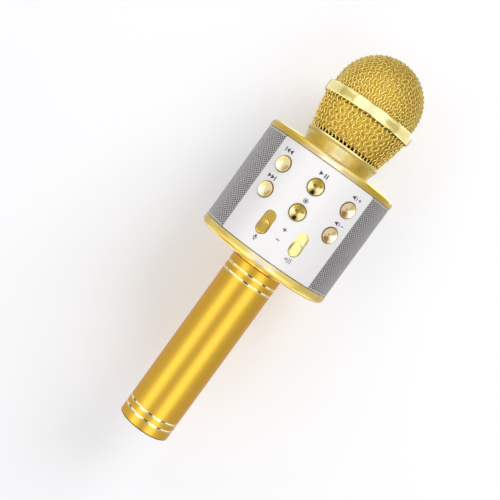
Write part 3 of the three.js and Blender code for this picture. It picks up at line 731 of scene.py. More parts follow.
def panel(name, centre, loops, mat, node, chamfer=0.22, grid=1.9):
    """A curved plate on the drum about an azimuth, with rounded edges round its outline and its holes."""
    R, T = R_SKIN, PANEL_T
    levels = []  # (sideways offset, depth below the skin)
    for k in range(4):
        a = PI / 2 * k / 3
        levels.append((chamfer * (1 - math.sin(a)), chamfer * (1 - math.cos(a))))
    grow = lambda i, d: loops[i](-d if i == 0 else d)
    outer_loops = [grow(i, chamfer) for i in range(len(loops))]
    inner_loops = [grow(i, 0.0) for i in range(len(loops))]
    po, to = triangulate(outer_loops, grid)
    pi_, ti = triangulate(inner_loops, grid * 1.6)
    verts, norms = [], []
    shift = math.radians(centre) * R
    out3 = wrap(po[:, 0] + shift, po[:, 1], R, R)
    V = [out3]
    base_in = len(po)
    V.append(wrap(pi_[:, 0] + shift, pi_[:, 1], R - T, R))
    count = base_in + len(pi_)
    faces = [list(t) for t in to]
    group = [0] * len(to)
    faces += [[base_in + t[2], base_in + t[1], base_in + t[0]] for t in ti]
    group += [1] * len(ti)
    start = 0
    side_norm = {}
    for i, loop in enumerate(loops):
        k = len(outer_loops[i])
        prev = [start + j for j in range(k)]
        base = inner_loops[i]
        tangent = np.roll(base, -1, 0) - np.roll(base, 1, 0)
        nrm = np.stack([tangent[:, 1], -tangent[:, 0]], 1)
        nrm /= np.linalg.norm(nrm, axis=1)[:, None]
        if i > 0:
            nrm = -nrm  # the wall of a hole faces into the hole
        ang = (base[:, 0] + shift) / R
        radial = np.stack([np.sin(ang), -np.cos(ang), np.zeros(k)], 1)
        along = np.stack([np.cos(ang), np.sin(ang), np.zeros(k)], 1)
        wall = along * nrm[:, :1] + np.array([0, 0, 1.0]) * nrm[:, 1:]
        for j in range(k):
            side_norm[prev[j]] = radial[j]
        rows = [prev]
        for lv in range(1, 4):
            off, depth = levels[lv]
            p2 = grow(i, off)
            V.append(wrap(p2[:, 0] + shift, p2[:, 1], R - depth, R))
            ids = list(range(count, count + k))
            count += k
            a = PI / 2 * lv / 3
            for j in range(k):
                side_norm[ids[j]] = radial[j] * math.cos(a) + wall[j] * math.sin(a)
            rows.append(ids)
        low = [base_in + start + j for j in range(k)]
        for j in range(k):
            side_norm[low[j]] = wall[j]
        rows.append(low)
        for a, b in zip(rows, rows[1:]):
            for j in range(k):
                j2 = (j + 1) % k
                faces.append([a[j], a[j2], b[j2], b[j]] if i > 0 else [a[j2], a[j], b[j], b[j2]])
                group.append(2)
        start += k
    V = np.concatenate(V)
    # face each triangle out by its group
    rad_of = np.stack([V[:, 0], V[:, 1], np.zeros(len(V))], 1)
    rad_of /= np.linalg.norm(rad_of, axis=1)[:, None]
    fixed, corner = [], []
    for f, g in zip(faces, group):
        want = [rad_of[i] for i in f] if g == 0 else [-rad_of[i] for i in f] if g == 1 else [side_norm[i] for i in f]
        a, b, c = V[f[0]], V[f[1]], V[f[2]]
        if np.dot(np.cross(b - a, c - a), sum(want)) < 0:
            f = f[::-1]
            want = want[::-1]
        fixed.append(f)
        corner += want
    ob = make(name, V, fixed, mat, "root", node, orient=False, sharp=60)
    ob.data.normals_split_custom_set([tuple(c / np.linalg.norm(c)) for c in corner])
    return ob


COLUMNS, ROWS = 31.0, (166.3, 150.2)
BUTTONS = [
    ("previous", -COLUMNS, ROWS[0]), ("next", -COLUMNS, ROWS[1]), ("play", 0.0, ROWS[0]),
    ("record", 0.0, ROWS[1]), ("volume_up", COLUMNS, ROWS[0]), ("volume_down", COLUMNS, ROWS[1]),
]
arc_of = lambda deg: math.radians(deg) * R_SKIN
half_w = arc_of(HALF)
front_loops = [round_rect_loop(0, 150.05, 2 * half_w, 59.1, 0.5, 4, along=30)]
front_loops += [circle_loop(arc_of(a), z, 4.75, 48) for _, a, z in BUTTONS]
front_loops += [round_rect_loop(arc_of(a), 136.5, 6.9, 14.2, 3.449, 12, along=6) for a in (-15, 15)]
panel("front_panel_plate", 0, front_loops, PANEL, "front_panel")
rear_loops = [
    round_rect_loop(0, 150.05, 2 * half_w, 59.1, 0.5, 4, along=30),
    round_rect_loop(0, 168, 10.4, 4.8, 0.7, 5, along=5),
    circle_loop(9.59, 153, 3.3, 36),
    round_rect_loop(-9.59, 153, 8.6, 3.8, 0.8, 5, along=4),
    round_rect_loop(0, 138, 14, 6.6, 0.5, 4, along=6),
]
panel("rear_panel_plate", 180, rear_loops, PANEL, "rear_panel")


# ============================================================ perforated side grilles
def grille(name, centre, node):
    R, T, pitch, hole = 40.5, 0.45, 1.45, 0.53
    half = arc_of(45.6)
    z_lo, z_hi = 120.5, 179.6
    dx = pitch * math.sqrt(3) / 2
    cols = int((2 * half - 1.2) / dx) + 1
    cols -= 1 - cols % 2
    rows = int((z_hi - z_lo - 0.3) / pitch)
    s0 = -dx * (cols - 1) / 2
    zc = (z_lo + z_hi) / 2
    cr = pitch / math.sqrt(3)
    ring = 12
    keys, pts, faces = {}, [], []

    def at(x, y):
        k = (round(x * 200), round(y * 200))
        if k not in keys:
            keys[k] = len(pts)
            pts.append((x, y))
        return keys[k]

    z_top = zc + pitch * (rows - 1) / 2
    z_bot = zc - pitch * (rows - 1) / 2
    border = (-half, half)
    for c in range(cols):
        odd = c % 2
        n_rows = rows - 1 if odd else rows
        for r in range(n_rows):
            cx = s0 + c * dx
            cy = z_bot + r * pitch + (pitch / 2 if odd else 0)
            hexa = []
            for k in range(6):
                x, y = cx + cr * math.cos(k * PI / 3), cy + cr * math.sin(k * PI / 3)
                if y > z_top - 0.01:
                    y = z_hi
                elif y < z_bot + 0.01:
                    y = z_lo
                if x < s0 - 0.3 * cr:
                    x = border[0]
                elif x > -s0 + 0.3 * cr:
                    x = border[1]
                hexa.append((x, y))
            outer = []
            for k in range(6):
                a, b = hexa[k], hexa[(k + 1) % 6]
                outer += [at(*a), at((a[0] + b[0]) / 2, (a[1] + b[1]) / 2)]
            base = len(pts)
            for k in range(ring):
                pts.append((cx + hole * math.cos(k * PI / 6), cy + hole * math.sin(k * PI / 6)))
            for k in range(ring):
                k2 = (k + 1) % ring
                f = [outer[k], outer[k2], base + k2, base + k]
                g = [v for i, v in enumerate(f) if v not in f[:i]]
                if len(g) > 2:
                    faces.append(g)
    pts = np.array(pts)
    shift = math.radians(centre) * R
    n = len(pts)
    V = np.concatenate([wrap(pts[:, 0] + shift, pts[:, 1], R, R), wrap(pts[:, 0] + shift, pts[:, 1], R - T, R)])
    directed = set()
    for f in faces:
        for a, b in zip(f, f[1:] + f[:1]):
            directed.add((a, b))
    out = list(faces) + [[n + v for v in reversed(f)] for f in faces]
    for a, b in directed:
        if (b, a) not in directed:
            out.append([b, a, n + a, n + b])
    ob = make(name, V, out, GRILLE, "root", node, sharp=40)
    return ob


grille("side_grille_left_mesh", -90, "side_grille_left")
grille("side_grille_right_mesh", 90, "side_grille_right")

# ============================================================ push buttons
for bname, a, z in BUTTONS:
    # each column of buttons takes its own copy of the gold with painted highlights and painted shade
    lathe(
        f"button_{bname}_cap",
        [[0, 40.82], [0.9, 40.86, 0.8], [3.45, 41.10, 0.3], [3.75, 41.2, 0.15], [4.25, 41.2, 0.2], [4.5, 40.85, 0.15], [4.5, 35.8, 0.1], [5.9, 35.8, 0.2], [5.9, 34.9, 0.2], [1.6, 34.9, 0.1], [1.6, 33.4, 0.2], [0, 33.4]],
        BUTTON_LEFT_PAINTED_LIGHT if a < -1 else BUTTON_RIGHT_PAINTED_LIGHT if a > 1 else BUTTON_CENTRE_PAINTED_LIGHT, f"button_{bname}", f"button_{bname}", seg=96, radius=0.15, matrix=drum_matrix(a, z), sharp=40,
    )


# ============================================================ slide controls
def slider(name, angle, node, body):
    zk = 136.5 - 2.8
    M = drum_matrix(angle, zk)
    # levels of the knob: (inset from the 6.1 x 8.0 outline, height along the drum's radius)
    lv = [(0, 38.7), (0, 40.3)]
    for k in range(1, 7):
        t = PI / 2 * k / 6
        lv.append((1.0 * (1 - math.cos(t)), 40.3 + 0.8 * math.sin(t)))
    lv += [(1.2, 41.07), (1.7, 40.93), (2.35, 40.85)]
    loop = round_rect_loop(0, 0, 6.1, 8.0, 3.049, 14, along=4)
    V, rows, count = [], [], 0
    for inset, h in lv:
        p = loop(-inset)
        V.append(np.column_stack([p, np.full(len(p), h)]))
        rows.append(list(range(count, count + len(p))))
        count += len(p)
    faces = []
    k = len(rows[0])
    for ra, rb in zip(rows, rows[1:]):
        for j in range(k):
            faces.append([ra[j], ra[(j + 1) % k], rb[(j + 1) % k], rb[j]])
    V.append(np.array([[0, 0, 40.84], [0, 0, 38.7]]))
    for j in range(k):
        faces.append([rows[-1][j], rows[-1][(j + 1) % k], count])
        faces.append([rows[0][(j + 1) % k], rows[0][j], count + 1])
    knob_v, knob_f = np.concatenate(V), faces
    # curved dust skirt, and the lever behind it with softened edges
    def plate(x_half, y_half, top, bottom, curve=True, nx=16, ny=2):
        xs = np.linspace(-x_half, x_half, nx + 1)
        ys = np.linspace(-y_half, y_half, ny + 1)
        v, idx = [], {}
        for side, r in (("o", top), ("i", bottom)):
            for iy, y in enumerate(ys):
                for ix, x in enumerate(xs):
                    idx[side, ix, iy] = len(v)
                    t = x / 38.9
                    v.append((r * math.sin(t), y, r * math.cos(t)) if curve else (x, y, r))
        f = []
        for iy in range(ny):
            for ix in range(nx):
                f.append([idx["o", ix, iy], idx["o", ix + 1, iy], idx["o", ix + 1, iy + 1], idx["o", ix, iy + 1]])
                f.append([idx["i", ix, iy + 1], idx["i", ix + 1, iy + 1], idx["i", ix + 1, iy], idx["i", ix, iy]])
        for iy in range(ny):
            f.append([idx["o", 0, iy], idx["o", 0, iy + 1], idx["i", 0, iy + 1], idx["i", 0, iy]])
            f.append([idx["o", nx, iy + 1], idx["o", nx, iy], idx["i", nx, iy], idx["i", nx, iy + 1]])
        for ix in range(nx):
            f.append([idx["o", ix + 1, 0], idx["o", ix, 0], idx["i", ix, 0], idx["i", ix + 1, 0]])
            f.append([idx["o", ix, ny], idx["o", ix + 1, ny], idx["i", ix + 1, ny], idx["i", ix, ny]])
        return np.array(v), f

    sk_v, sk_f = plate(3.8, 10.3, 38.9, 38.5)
    lev_v, lev_f = plate(1.1, 1.5, 38.5, 33.2, curve=False, nx=1, ny=1)
    # the right-hand knob takes the copy of the gold painted paler, painted light
    tone = GOLD_SLIDER if angle < 0 else GOLD_SLIDER_PAINTED_LIT
    ob = make(f"{name}", knob_v, knob_f, tone, body, node, matrix=M, sharp=40)
    sk = make(f"{name}_skirt", sk_v, sk_f, tone, body, (), matrix=M, sharp=40)
    le = make(f"{name}_lever", lev_v, lev_f, BLACK_ABS, body, (), matrix=M, sharp=40)
    m = le.modifiers.new("soft", "BEVEL")
    m.width, m.segments = 0.0002, 2
    return ob


slider("slider_knob_mic_cap", -15, "slider_knob_mic", "slider_mic")
slider("slider_knob_echo_cap", 15, "slider_knob_echo", "slider_echo")


# ============================================================ printed pictograms, raised 0.05 mm
def prisms(polys, centre_deg, z0, r0=40.5, r1=40.555):
    V, F = [], []
    s0 = arc_of(centre_deg)
    for poly in polys:
        p = np.array(poly, float) * 1.2
        area = 0.5 * np.sum(p[:, 0] * np.roll(p[:, 1], -1) - np.roll(p[:, 0], -1) * p[:, 1])
        if area < 0:
            p = p[::-1]
        k, b = len(p), len(V)
        for r in (r1, r0 - 0.03):
            V.extend(wrap(p[:, 0] + s0, p[:, 1] + z0, r, R_SKIN).tolist())
        F.append([b + i for i in range(k)])
        F.append([b + k + i for i in reversed(range(k))])
        for i in range(k):
            j = (i + 1) % k
            F.append([b + j, b + i, b + k + i, b + k + j])
    return V, F


def rect(x0, x1, y0, y1):
    return [(x0, y0), (x1, y0), (x1, y1), (x0, y1)]


def disc(x, y, r, n=20):
    return [(x + r * math.cos(2 * PI * i / n), y + r * math.sin(2 * PI * i / n)) for i in range(n)]


def arcs(x, y, r, w, a0, a1, n=10):
    """A ring part as convex quads."""
    out = []
    for i in range(n):
        t0, t1 = math.radians(a0 + (a1 - a0) * i / n), math.radians(a0 + (a1 - a0) * (i + 1) / n)
        out.append([(x + (r - w) * math.cos(t0), y + (r - w) * math.sin(t0)), (x + r * math.cos(t0), y + r * math.sin(t0)), (x + r * math.cos(t1), y + r * math.sin(t1)), (x + (r - w) * math.cos(t1), y + (r - w) * math.sin(t1))])
    return out


h = 1.05
tri_r = lambda x: [(x, -h), (x + 1.7, 0), (x, h)]
tri_l = lambda x: [(x, -h), (x - 1.7, 0), (x, h)]
speaker = lambda x: [rect(x, x + 0.7, -0.45, 0.45), [(x + 0.7, -0.45), (x + 1.6, -h), (x + 1.6, h), (x + 0.7, 0.45)]]
plus = lambda x, y, a, w: [rect(x - a, x + a, y - w, y + w), rect(x - w, x + w, y + w, y + a), rect(x - w, x + w, y - a, y - w)]
ICONS = [
    ("previous", [rect(-2.5, -2.0, -h, h), tri_l(0.0), tri_l(2.0)], -33, 173.8),
    ("next", [tri_r(-2.0), tri_r(0.0), rect(2.0, 2.5, -h, h)], -33, 157.5),
    ("play", [tri_r(-2.2), rect(0.3, 0.85, -h, h), rect(1.35, 1.9, -h, h)], 0, 173.8),
    ("record", arcs(0, 0, 1.1, 0.3, 0, 360, 28) + [disc(0, 0, 0.5)], 0, 157.5),
    ("volume_up", speaker(-2.4) + arcs(-1.0, 0, 1.3, 0.3, -45, 45, 8) + plus(1.9, 0, 0.8, 0.17), 31.5, 173.8),
    ("volume_down", speaker(-2.4) + arcs(-1.0, 0, 1.3, 0.3, -45, 45, 8) + [rect(1.1, 2.7, -0.17, 0.17)], 32, 157.5),
    ("mic", [rect(-0.42, 0.42, -0.1, 1.15)] + arcs(0, 0.2, 0.95, 0.25, 180, 360, 12) + [rect(-0.13, 0.13, -1.1, -0.75), rect(-0.6, 0.6, -1.35, -1.1)], -15, 127.0),
    ("echo", [disc(-1.6, 0, 0.38)] + arcs(-1.6, 0, 1.1, 0.28, -50, 50, 8) + arcs(-1.6, 0, 2.0, 0.28, -42, 42, 8) + arcs(-1.6, 0, 2.9, 0.28, -30, 30, 8), 15.5, 127.0),
    ("plus", plus(0, 0, 0.95, 0.22), 0, 139.0),
    ("minus", [rect(-0.8, 0.8, -0.2, 0.2)], 0, 132.7),
]
for iname, polys, deg, z in ICONS:
    V, F = prisms(polys, deg, z)
    make(f"print_{iname}", V, F, INK, "root", (), orient=False, sharp=20)

# ============================================================ neck and head ring
ex, sh = thread(186.2, 190.9, 19.6, 18.9, 188.2, 1.0)
lathe(
    "neck_collar_shell",
    [[5, 181], [11.7, 181], [11.7, 184.4, 0.1], [20.8, 184.4, 0.15], [21.3, 186.6, 1.5], [22.6, 190.9, 0.12], [19.6, 190.9, 0.15], [19.6, 186.2, 0.2], [5, 186.2]],
    GOLD_NECK, "root", "neck_collar", seg=160, radius=0.2, extra=ex, shape=sh,
)
ex, sh = thread(186.6, 191.7, 18.6, 19.3, 187.2, 1.7)
lathe(
    "grille_base_ring_shell",
    [[17.4, 186.6], [18.6, 186.6, 0.25], [18.6, 191.7, 0.1], [22.75, 191.7, 0.15], [23.1, 192.4, 0.4], [23, 193.2, 0.35], [17.4, 193.2]],
    GOLD_BEAD, "head", "grille_base_ring", seg=160, radius=0.2, extra=ex, shape=sh,
)
lathe("head_seal_ring", [[19.7, 190.98], [22.68, 190.98], [22.68, 191.62], [19.7, 191.62]], SEAL, "head_seat", "head_seal", seg=128, radius=0.15)
lathe(
    "grille_band_ring",
    [[26.85, 213.4], [27.6, 213.4, 0.3], [27.92, 213.9, 0.5], [28.25, 216.5, 9], [27.92, 219.1, 0.5], [27.6, 219.6, 0.3], [26.85, 219.6]],
    GOLD_BAND, "head", "grille_band", seg=192, radius=0.2, steps=8,
)

# ============================================================ microphone capsule and speakers
lathe("capsule_stem_tube", [[3, 182], [4.8, 182], [4.8, 186.4], [8, 186.4], [8, 187.6], [5, 188.2], [5, 204], [3, 204]], BLACK_ABS, "root", "capsule_stem", seg=72, radius=0.2)
lathe("capsule_holder_cup", [[5.2, 200.5], [7.2, 200.5], [9.6, 204.5], [9.6, 213], [8.1, 213], [8.1, 205], [5.2, 205]], RUBBER, "root", "capsule_holder", seg=72, radius=0.3)
lathe("mic_capsule_can", [[0, 205.2], [7.8, 205.2], [7.8, 216.2], [7.2, 217], [6.2, 217], [6.0, 216.4], [0, 216.4]], NICKEL, "root", "mic_capsule", seg=72, radius=0.2)
for side, s in (("left", -1), ("right", 1)):
    M = Matrix.Translation((0, 0, 0.150)) @ Matrix.Rotation(s * PI / 2, 4, "Y")
    lathe(
        f"speaker_basket_{side}_frame",
        [[6.4, 20], [11.6, 20], [11.8, 21], [17, 28.3], [17, 30.3], [18.2, 30.3], [18.2, 31.4], [16.6, 31.4], [16.4, 30.6], [16, 28.6], [10.9, 21.3], [6.4, 21.3]],
        BLACK_ABS, "root", f"speaker_basket_{side}", seg=72, radius=0.2, matrix=M,
    )
    lathe(
        f"speaker_magnet_{side}_cup",
        [[0, 12.5], [10.8, 12.5], [10.8, 19.8], [6.2, 19.8], [6.2, 17.4], [4.5, 17.4], [4.5, 22], [0, 22]],
        STEEL, "root", f"speaker_magnet_{side}", seg=72, radius=0.2, matrix=M,
    )
    lathe(
        f"speaker_cone_{side}_paper",
        [[0, 27.2, 0], [2.6, 26.8, 3], [4.8, 25.8, 0.2], [5.6, 25.3, 0.2], [13.8, 30, 0.2], [14.7, 30.8, 0.5], [15.6, 30.6, 0.1], [15.6, 30.1, 0.1], [14.7, 30.2, 0.4], [14, 29.5, 0.1], [5.6, 24.7, 0.1], [5.6, 19.3], [5.1, 19.3], [5.1, 25], [2.6, 26.2, 3], [0, 26.6, 0]],
        CONE, f"speaker_cone_{side}", f"speaker_cone_{side}", seg=96, radius=0.1, matrix=M,
    )

# ============================================================ foam liner behind the mesh
DOME_R, DOME_Z = 26.2, 223.8


def foam():
    pts = []
    for r, z in ((20.4, 194.8), (21.6, 198.5), (22.9, 203.4), (23.9, 209), (24.2, 213), (24.25, 217), (24.25, 221)):
        pts.append((r, z))
    for d in range(4, 90, 4):
        pts.append((24.3 * math.cos(math.radians(d)), DOME_Z + 24.3 * math.sin(math.radians(d))))
    pts.append((0.0, DOME_Z + 24.3))
    inner = [(0.0, DOME_Z + 21.6)] + [(21.6 * math.cos(math.radians(d)), DOME_Z + 21.6 * math.sin(math.radians(d))) for d in range(86, 0, -6)]
    inner += [(21.6, 216), (21.2, 209), (19.4, 200), (18.0, 194.8)]
    fine = []
    whole = pts + inner
    for i, p in enumerate(whole):
        q = whole[(i + 1) % len(whole)]
        k = max(1, int(math.hypot(q[0] - p[0], q[1] - p[1]) / 0.7))
        for j in range(k):
            t = j / k
            r = p[0] + (q[0] - p[0]) * t
            if i == len(pts) - 1 and j:
                continue
            fine.append((r, p[1] + (q[1] - p[1]) * t))
    top = [i for i, p in enumerate(fine) if p[0] < 1e-9]
    # two arms that both reach the axis: the outer one up, the inner one down, closed along the bottom
    outer_arm, inner_arm = fine[: top[0] + 1], fine[top[1] :]
    prof = inner_arm + outer_arm
    v, f = lathe_grid(prof, 144, False)
    n = v / 1.0
    bump = (
        np.sin(n[:, 0] * 2.9 + 1.3 * np.sin(n[:, 2] * 1.7)) * np.sin(n[:, 1] * 3.1 + 1.1 * np.sin(n[:, 0] * 1.3)) * np.sin(n[:, 2] * 2.7 + 0.9 * np.sin(n[:, 1] * 2.1))
        + 0.5 * np.sin(n[:, 0] * 6.1 + n[:, 1] * 3.7) * np.sin(n[:, 2] * 5.3 + n[:, 0] * 2.9)
    )
    d = v - np.array([0, 0, 205.0])
    d /= np.maximum(np.linalg.norm(d, axis=1)[:, None], 1e-6)
    axis_fade = np.clip(np.hypot(v[:, 0], v[:, 1]) / 1.5, 0, 1)[:, None]
    v = v + d * (bump * 0.14)[:, None] * axis_fade
    make("foam_windscreen", v, f, FOAM, "head", "foam_liner", sharp=180)


foam()


# ============================================================ woven wire head
def tubes(paths, radius, sides=6):
    """Tubes along polylines. paths is a list of (points (n,3), closed, up (n,3)); up is a normal used to keep the section straight."""
    V, F, count = [], [], 0
    t = np.arange(sides) * 2 * PI / sides
    for pts, closed, up in paths:
        n = len(pts)
        if closed:
            tan = np.roll(pts, -1, 0) - np.roll(pts, 1, 0)
        else:
            tan = np.empty_like(pts)
            tan[1:-1] = pts[2:] - pts[:-2]
            tan[0], tan[-1] = pts[1] - pts[0], pts[-1] - pts[-2]
        tan /= np.linalg.norm(tan, axis=1)[:, None]
        side = np.cross(tan, up)
        side /= np.linalg.norm(side, axis=1)[:, None]
        top = np.cross(side, tan)
        ring = pts[:, None] + radius * (np.cos(t)[None, :, None] * side[:, None] + np.sin(t)[None, :, None] * top[:, None])
        V.append(ring.reshape(-1, 3))
        i = np.arange(n if closed else n - 1)
        j = (i + 1) % n
        k = np.arange(sides)
        k2 = (k + 1) % sides
        q = np.stack(
            [
                (i[:, None] * sides + k[None]).ravel(),
                (i[:, None] * sides + k2[None]).ravel(),
                (j[:, None] * sides + k2[None]).ravel(),
                (j[:, None] * sides + k[None]).ravel(),
            ],
            1,
        )
        F += (q + count).tolist()
        if not closed:
            F.append((count + k[::-1]).tolist())
            F.append((count + (n - 1) * sides + k).tolist())
        count += n * sides
    return np.concatenate(V), F


def mark_painted_wire_light(ob, V, warp, sides):
    """Stores how brightly each wire is painted lit: 1 for the warp, and for the weft a little more where it runs
    steeply. The low values turn the crosswise wires a darker olive, painted shade for the light that falls along the
    upright wires and not on them.
    """
    n = len(V)
    c = V.reshape(-1, sides, 3).mean(1)
    t = np.zeros_like(c)
    t[1:-1] = c[2:] - c[:-2]
    t[0], t[-1] = t[1], t[-2]
    t /= np.maximum(np.linalg.norm(t, axis=1)[:, None], 1e-9)
    rad = np.stack([c[:, 0], c[:, 1], np.zeros(len(c))], 1)
    rr = np.maximum(np.linalg.norm(rad, axis=1), 1e-6)[:, None]
    across = np.stack([-rad[:, 1], rad[:, 0], np.zeros(len(c))], 1) / rr
    painted_wire_light = 1 - np.abs((t * across).sum(1))
    a = ob.data.attributes.new("painted_wire_light", "FLOAT", "POINT")
    # painted shade amount: full brightness for the warp, at most 0.45 for the weft
    value = np.where(np.arange(len(c)) < warp // sides, 1.0, np.clip(painted_wire_light * 0.6, 0, 0.45))
    a.data.foreach_set("value", np.repeat(value, sides).astype(np.float32))


def chain(points, per):
    """A smooth curve through points, per steps between each pair (Catmull-Rom)."""
    p = np.concatenate([[2 * points[0] - points[1]], points, [2 * points[-1] - points[-2]]])
    out = []
    for i in range(1, len(p) - 2):
        a, b, c, d = p[i - 1], p[i], p[i + 1], p[i + 2]
        for k in range(per):
            t = k / per
            out.append(0.5 * (2 * b + (c - a) * t + (2 * a - 5 * b + 4 * c - d) * t * t + (3 * b - a - 3 * c + d) * t**3))
    out.append(points[-1])
    return np.array(out)


WIRE_R = 0.47


def lower_mesh():
    prof = np.array([[22.6, 193.15], [22.95, 195], [23.6, 198], [25.05, 203.4], [26.1, 209], [26.55, 213], [26.6, 216.2]])
    prof[:, 0] -= 0.86  # wire centres: the crests reach the shell's outer face
    seg = np.linalg.norm(np.diff(prof, axis=0), axis=1)
    arc = np.concatenate([[0], np.cumsum(seg)])
    # smooth the profile
    dense = chain(prof, 12)
    dl = np.concatenate([[0], np.cumsum(np.linalg.norm(np.diff(dense, axis=0), axis=1))])
    total = dl[-1]
    rows = 11
    step = total / rows
    at = lambda s: np.stack([np.interp(s, dl, dense[:, 0]), np.interp(s, dl, dense[:, 1])], -1)
    columns = 56
    bob = 0.24
    paths = []
    n = rows * 6 + 1
    s = np.linspace(0, total, n)
    c = at(s)
    slope = np.gradient(c, s, axis=0)
    nr, nz = slope[:, 1], -slope[:, 0]
    for i in range(columns):
        a0 = 2 * PI * i / columns
        w = bob * np.cos(PI * (s / step + i))
        lat = 0.52 * np.sin(PI * s / step + 0.5)
        r, z = c[:, 0] + w * nr, c[:, 1] + w * nz
        a = a0 + lat / c[:, 0]
        pts = np.stack([r * np.sin(a), -r * np.cos(a), z], 1)
        up = np.stack([nr * np.sin(a), -nr * np.cos(a), nz], 1)
        paths.append((pts, False, up))
    warp = tubes(paths, WIRE_R)
    paths = []
    m = columns * 4
    a = np.arange(m) * 2 * PI / m
    for j in range(1, rows + 1):
        sj = min(max(j * step, 0.35), total - 0.3)
        cc = at(np.array([sj]))[0]
        k = np.array([np.interp(sj, s, nr), np.interp(sj, s, nz)])
        ph = PI * (j + a * columns / (2 * PI))
        w = -0.24 - bob * np.cos(ph)
        lift = 0.10 * np.sin(ph)
        r, z = cc[0] + w * k[0] - lift * k[1], cc[1] + w * k[1] + lift * k[0]
        pts = np.stack([r * np.sin(a), -r * np.cos(a), z], 1)
        up = np.stack([k[0] * np.sin(a), -k[0] * np.cos(a), np.full(m, k[1])], 1)
        paths.append((pts, True, up))
    weft = tubes(paths, 0.46)
    V = np.concatenate([warp[0], weft[0]])
    F = warp[1] + [[i + len(warp[0]) for i in f] for f in weft[1]]
    mark_painted_wire_light(make("grille_lower_wires", V, F, WIRE, "head", "grille_lower_mesh", orient=True, sharp=180), V, len(warp[0]), 6)


def dome_mesh():
    """A plain-weave sheet laid on the dome, fanning out from the pole, carried on down the short straight wall."""
    Rc = DOME_R - 0.86
    hx, hy = 2.7, 2.2
    reach = 24
    P = {}
    for i in range(-reach, reach + 1):
        for j in range(-reach, reach + 1):
            x, y = i * hx, j * hy
            r = math.hypot(x, y)
            psi = r / Rc
            if psi > 1.95:
                continue
            k = math.sin(psi) / r if r > 1e-9 else 0.0
            P[i, j] = np.array([x * k, y * k, math.cos(psi)])
    limit = (DOME_Z - 217.2) / Rc + PI / 2

    def place(u):
        """Unit vector to the wire centre line: the sphere above the equator, the straight wall below it."""
        psi = np.arccos(np.clip(u[:, 2], -1, 1))
        az = np.arctan2(u[:, 1], u[:, 0])
        over = psi > PI / 2
        r = np.where(over, Rc + 0.05 * (psi - PI / 2) * Rc / 2, Rc * np.sin(psi))
        z = np.where(over, DOME_Z - (psi - PI / 2) * Rc, DOME_Z + Rc * np.cos(psi))
        pts = np.stack([r * np.cos(az), r * np.sin(az), z], 1)
        nz = np.where(over, 0.0, np.cos(psi))
        nr = np.where(over, 1.0, np.sin(psi))
        return pts, np.stack([nr * np.cos(az), nr * np.sin(az), nz], 1), psi

    bob, per = 0.22, 4

    def place_at(nodes, dense):
        return place(dense)

    groups = []
    for family in (0, 1):
        paths = []
        for i in range(-reach, reach + 1):
            js = [j for j in range(-reach, reach + 1) if ((i, j) if family == 0 else (j, i)) in P]
            if not js or 0 not in js:
                continue
            lo = hi = 0
            while lo - 1 in js:
                lo -= 1
            while hi + 1 in js:
                hi += 1
            if hi - lo < 4:
                continue
            idx = np.arange(lo, hi + 1)
            nodes = np.array([P[(i, j) if family == 0 else (j, i)] for j in idx])
            dense = chain(nodes, per)
            dense /= np.linalg.norm(dense, axis=1)[:, None]
            par = np.linspace(lo, hi, len(dense))
            pts, up, psi = place_at(nodes, dense)
            sign = 1 if family == 0 else -1
            pts = pts + up * (sign * bob * np.cos(PI * (par + i)) - (0 if family == 0 else 0.24))[:, None]
            tan = np.gradient(pts, axis=0)
            side = np.cross(tan, up)
            side /= np.maximum(np.linalg.norm(side, axis=1)[:, None], 1e-9)
            pts = pts + side * ((0.50 if family == 0 else 0.08) * np.sin(PI * par + 0.5))[:, None]
            keep = psi < limit
            first, last = np.argmax(keep), len(keep) - np.argmax(keep[::-1])
            if last - first < 8:
                continue
            paths.append((pts[first:last], False, up[first:last]))
        groups.append(tubes(paths, WIRE_R if family == 0 else 0.46))
    # family 0 runs front to back over the pole when seen from the control side
    V = np.concatenate([groups[0][0], groups[1][0]])
    F = groups[0][1] + [[k + len(groups[0][0]) for k in f] for f in groups[1][1]]
    V[:, 2] = np.minimum(V[:, 2], 250.0)
    mark_painted_wire_light(make("grille_dome_wires", V, F, WIRE, "head", "grille_dome_mesh", orient=True, sharp=180), V, len(groups[0][0]), 6)


lower_mesh()
dome_mesh()

# ============================================================ carried-over CAD pieces: soft edges and their own finishes
FINISH = {
    "battery_spring": STEEL, "socket_screw_1": STEEL, "socket_screw_2": STEEL, "body_frame": BLACK_ABS, "main_board": BOARD,
    "button_board_centre": BOARD, "button_board_left": BOARD, "button_board_right": BOARD, "slide_pot_mic": STEEL, "slide_pot_echo": STEEL,
    "usb_port": NICKEL, "charging_port": NICKEL, "headphone_jack": BLACK_ABS, "power_switch_body": STEEL, "power_switch_knob": BLACK_ABS,
    "mic_lead": RUBBER,
}
for t in ("previous", "next", "play", "record", "volume_up", "volume_down"):
    FINISH["tact_switch_" + t] = BLACK_ABS
for node, ob in NODES.items():
    if ob.hide_render:
        continue
    mat = FINISH.get(node, BLACK_ABS)
    ob.data.materials.clear()
    ob.data.materials.append(mat)
    m = ob.modifiers.new("soft_edges", "BEVEL")
    m.width, m.segments, m.limit_method, m.angle_limit = 0.00012, 2, "ANGLE", math.radians(35)
    m.use_clamp_overlap = True

# ============================================================ studio
back = bpy.data.meshes.new("backdrop")
S, Y0 = 3.0, 0.0435
back.from_pydata([(-S, Y0, -S), (S, Y0, -S), (S, Y0, S), (-S, Y0, S)], [], [[0, 1, 2, 3]])
backdrop = bpy.data.objects.new("backdrop", back)
scene.collection.objects.link(backdrop)


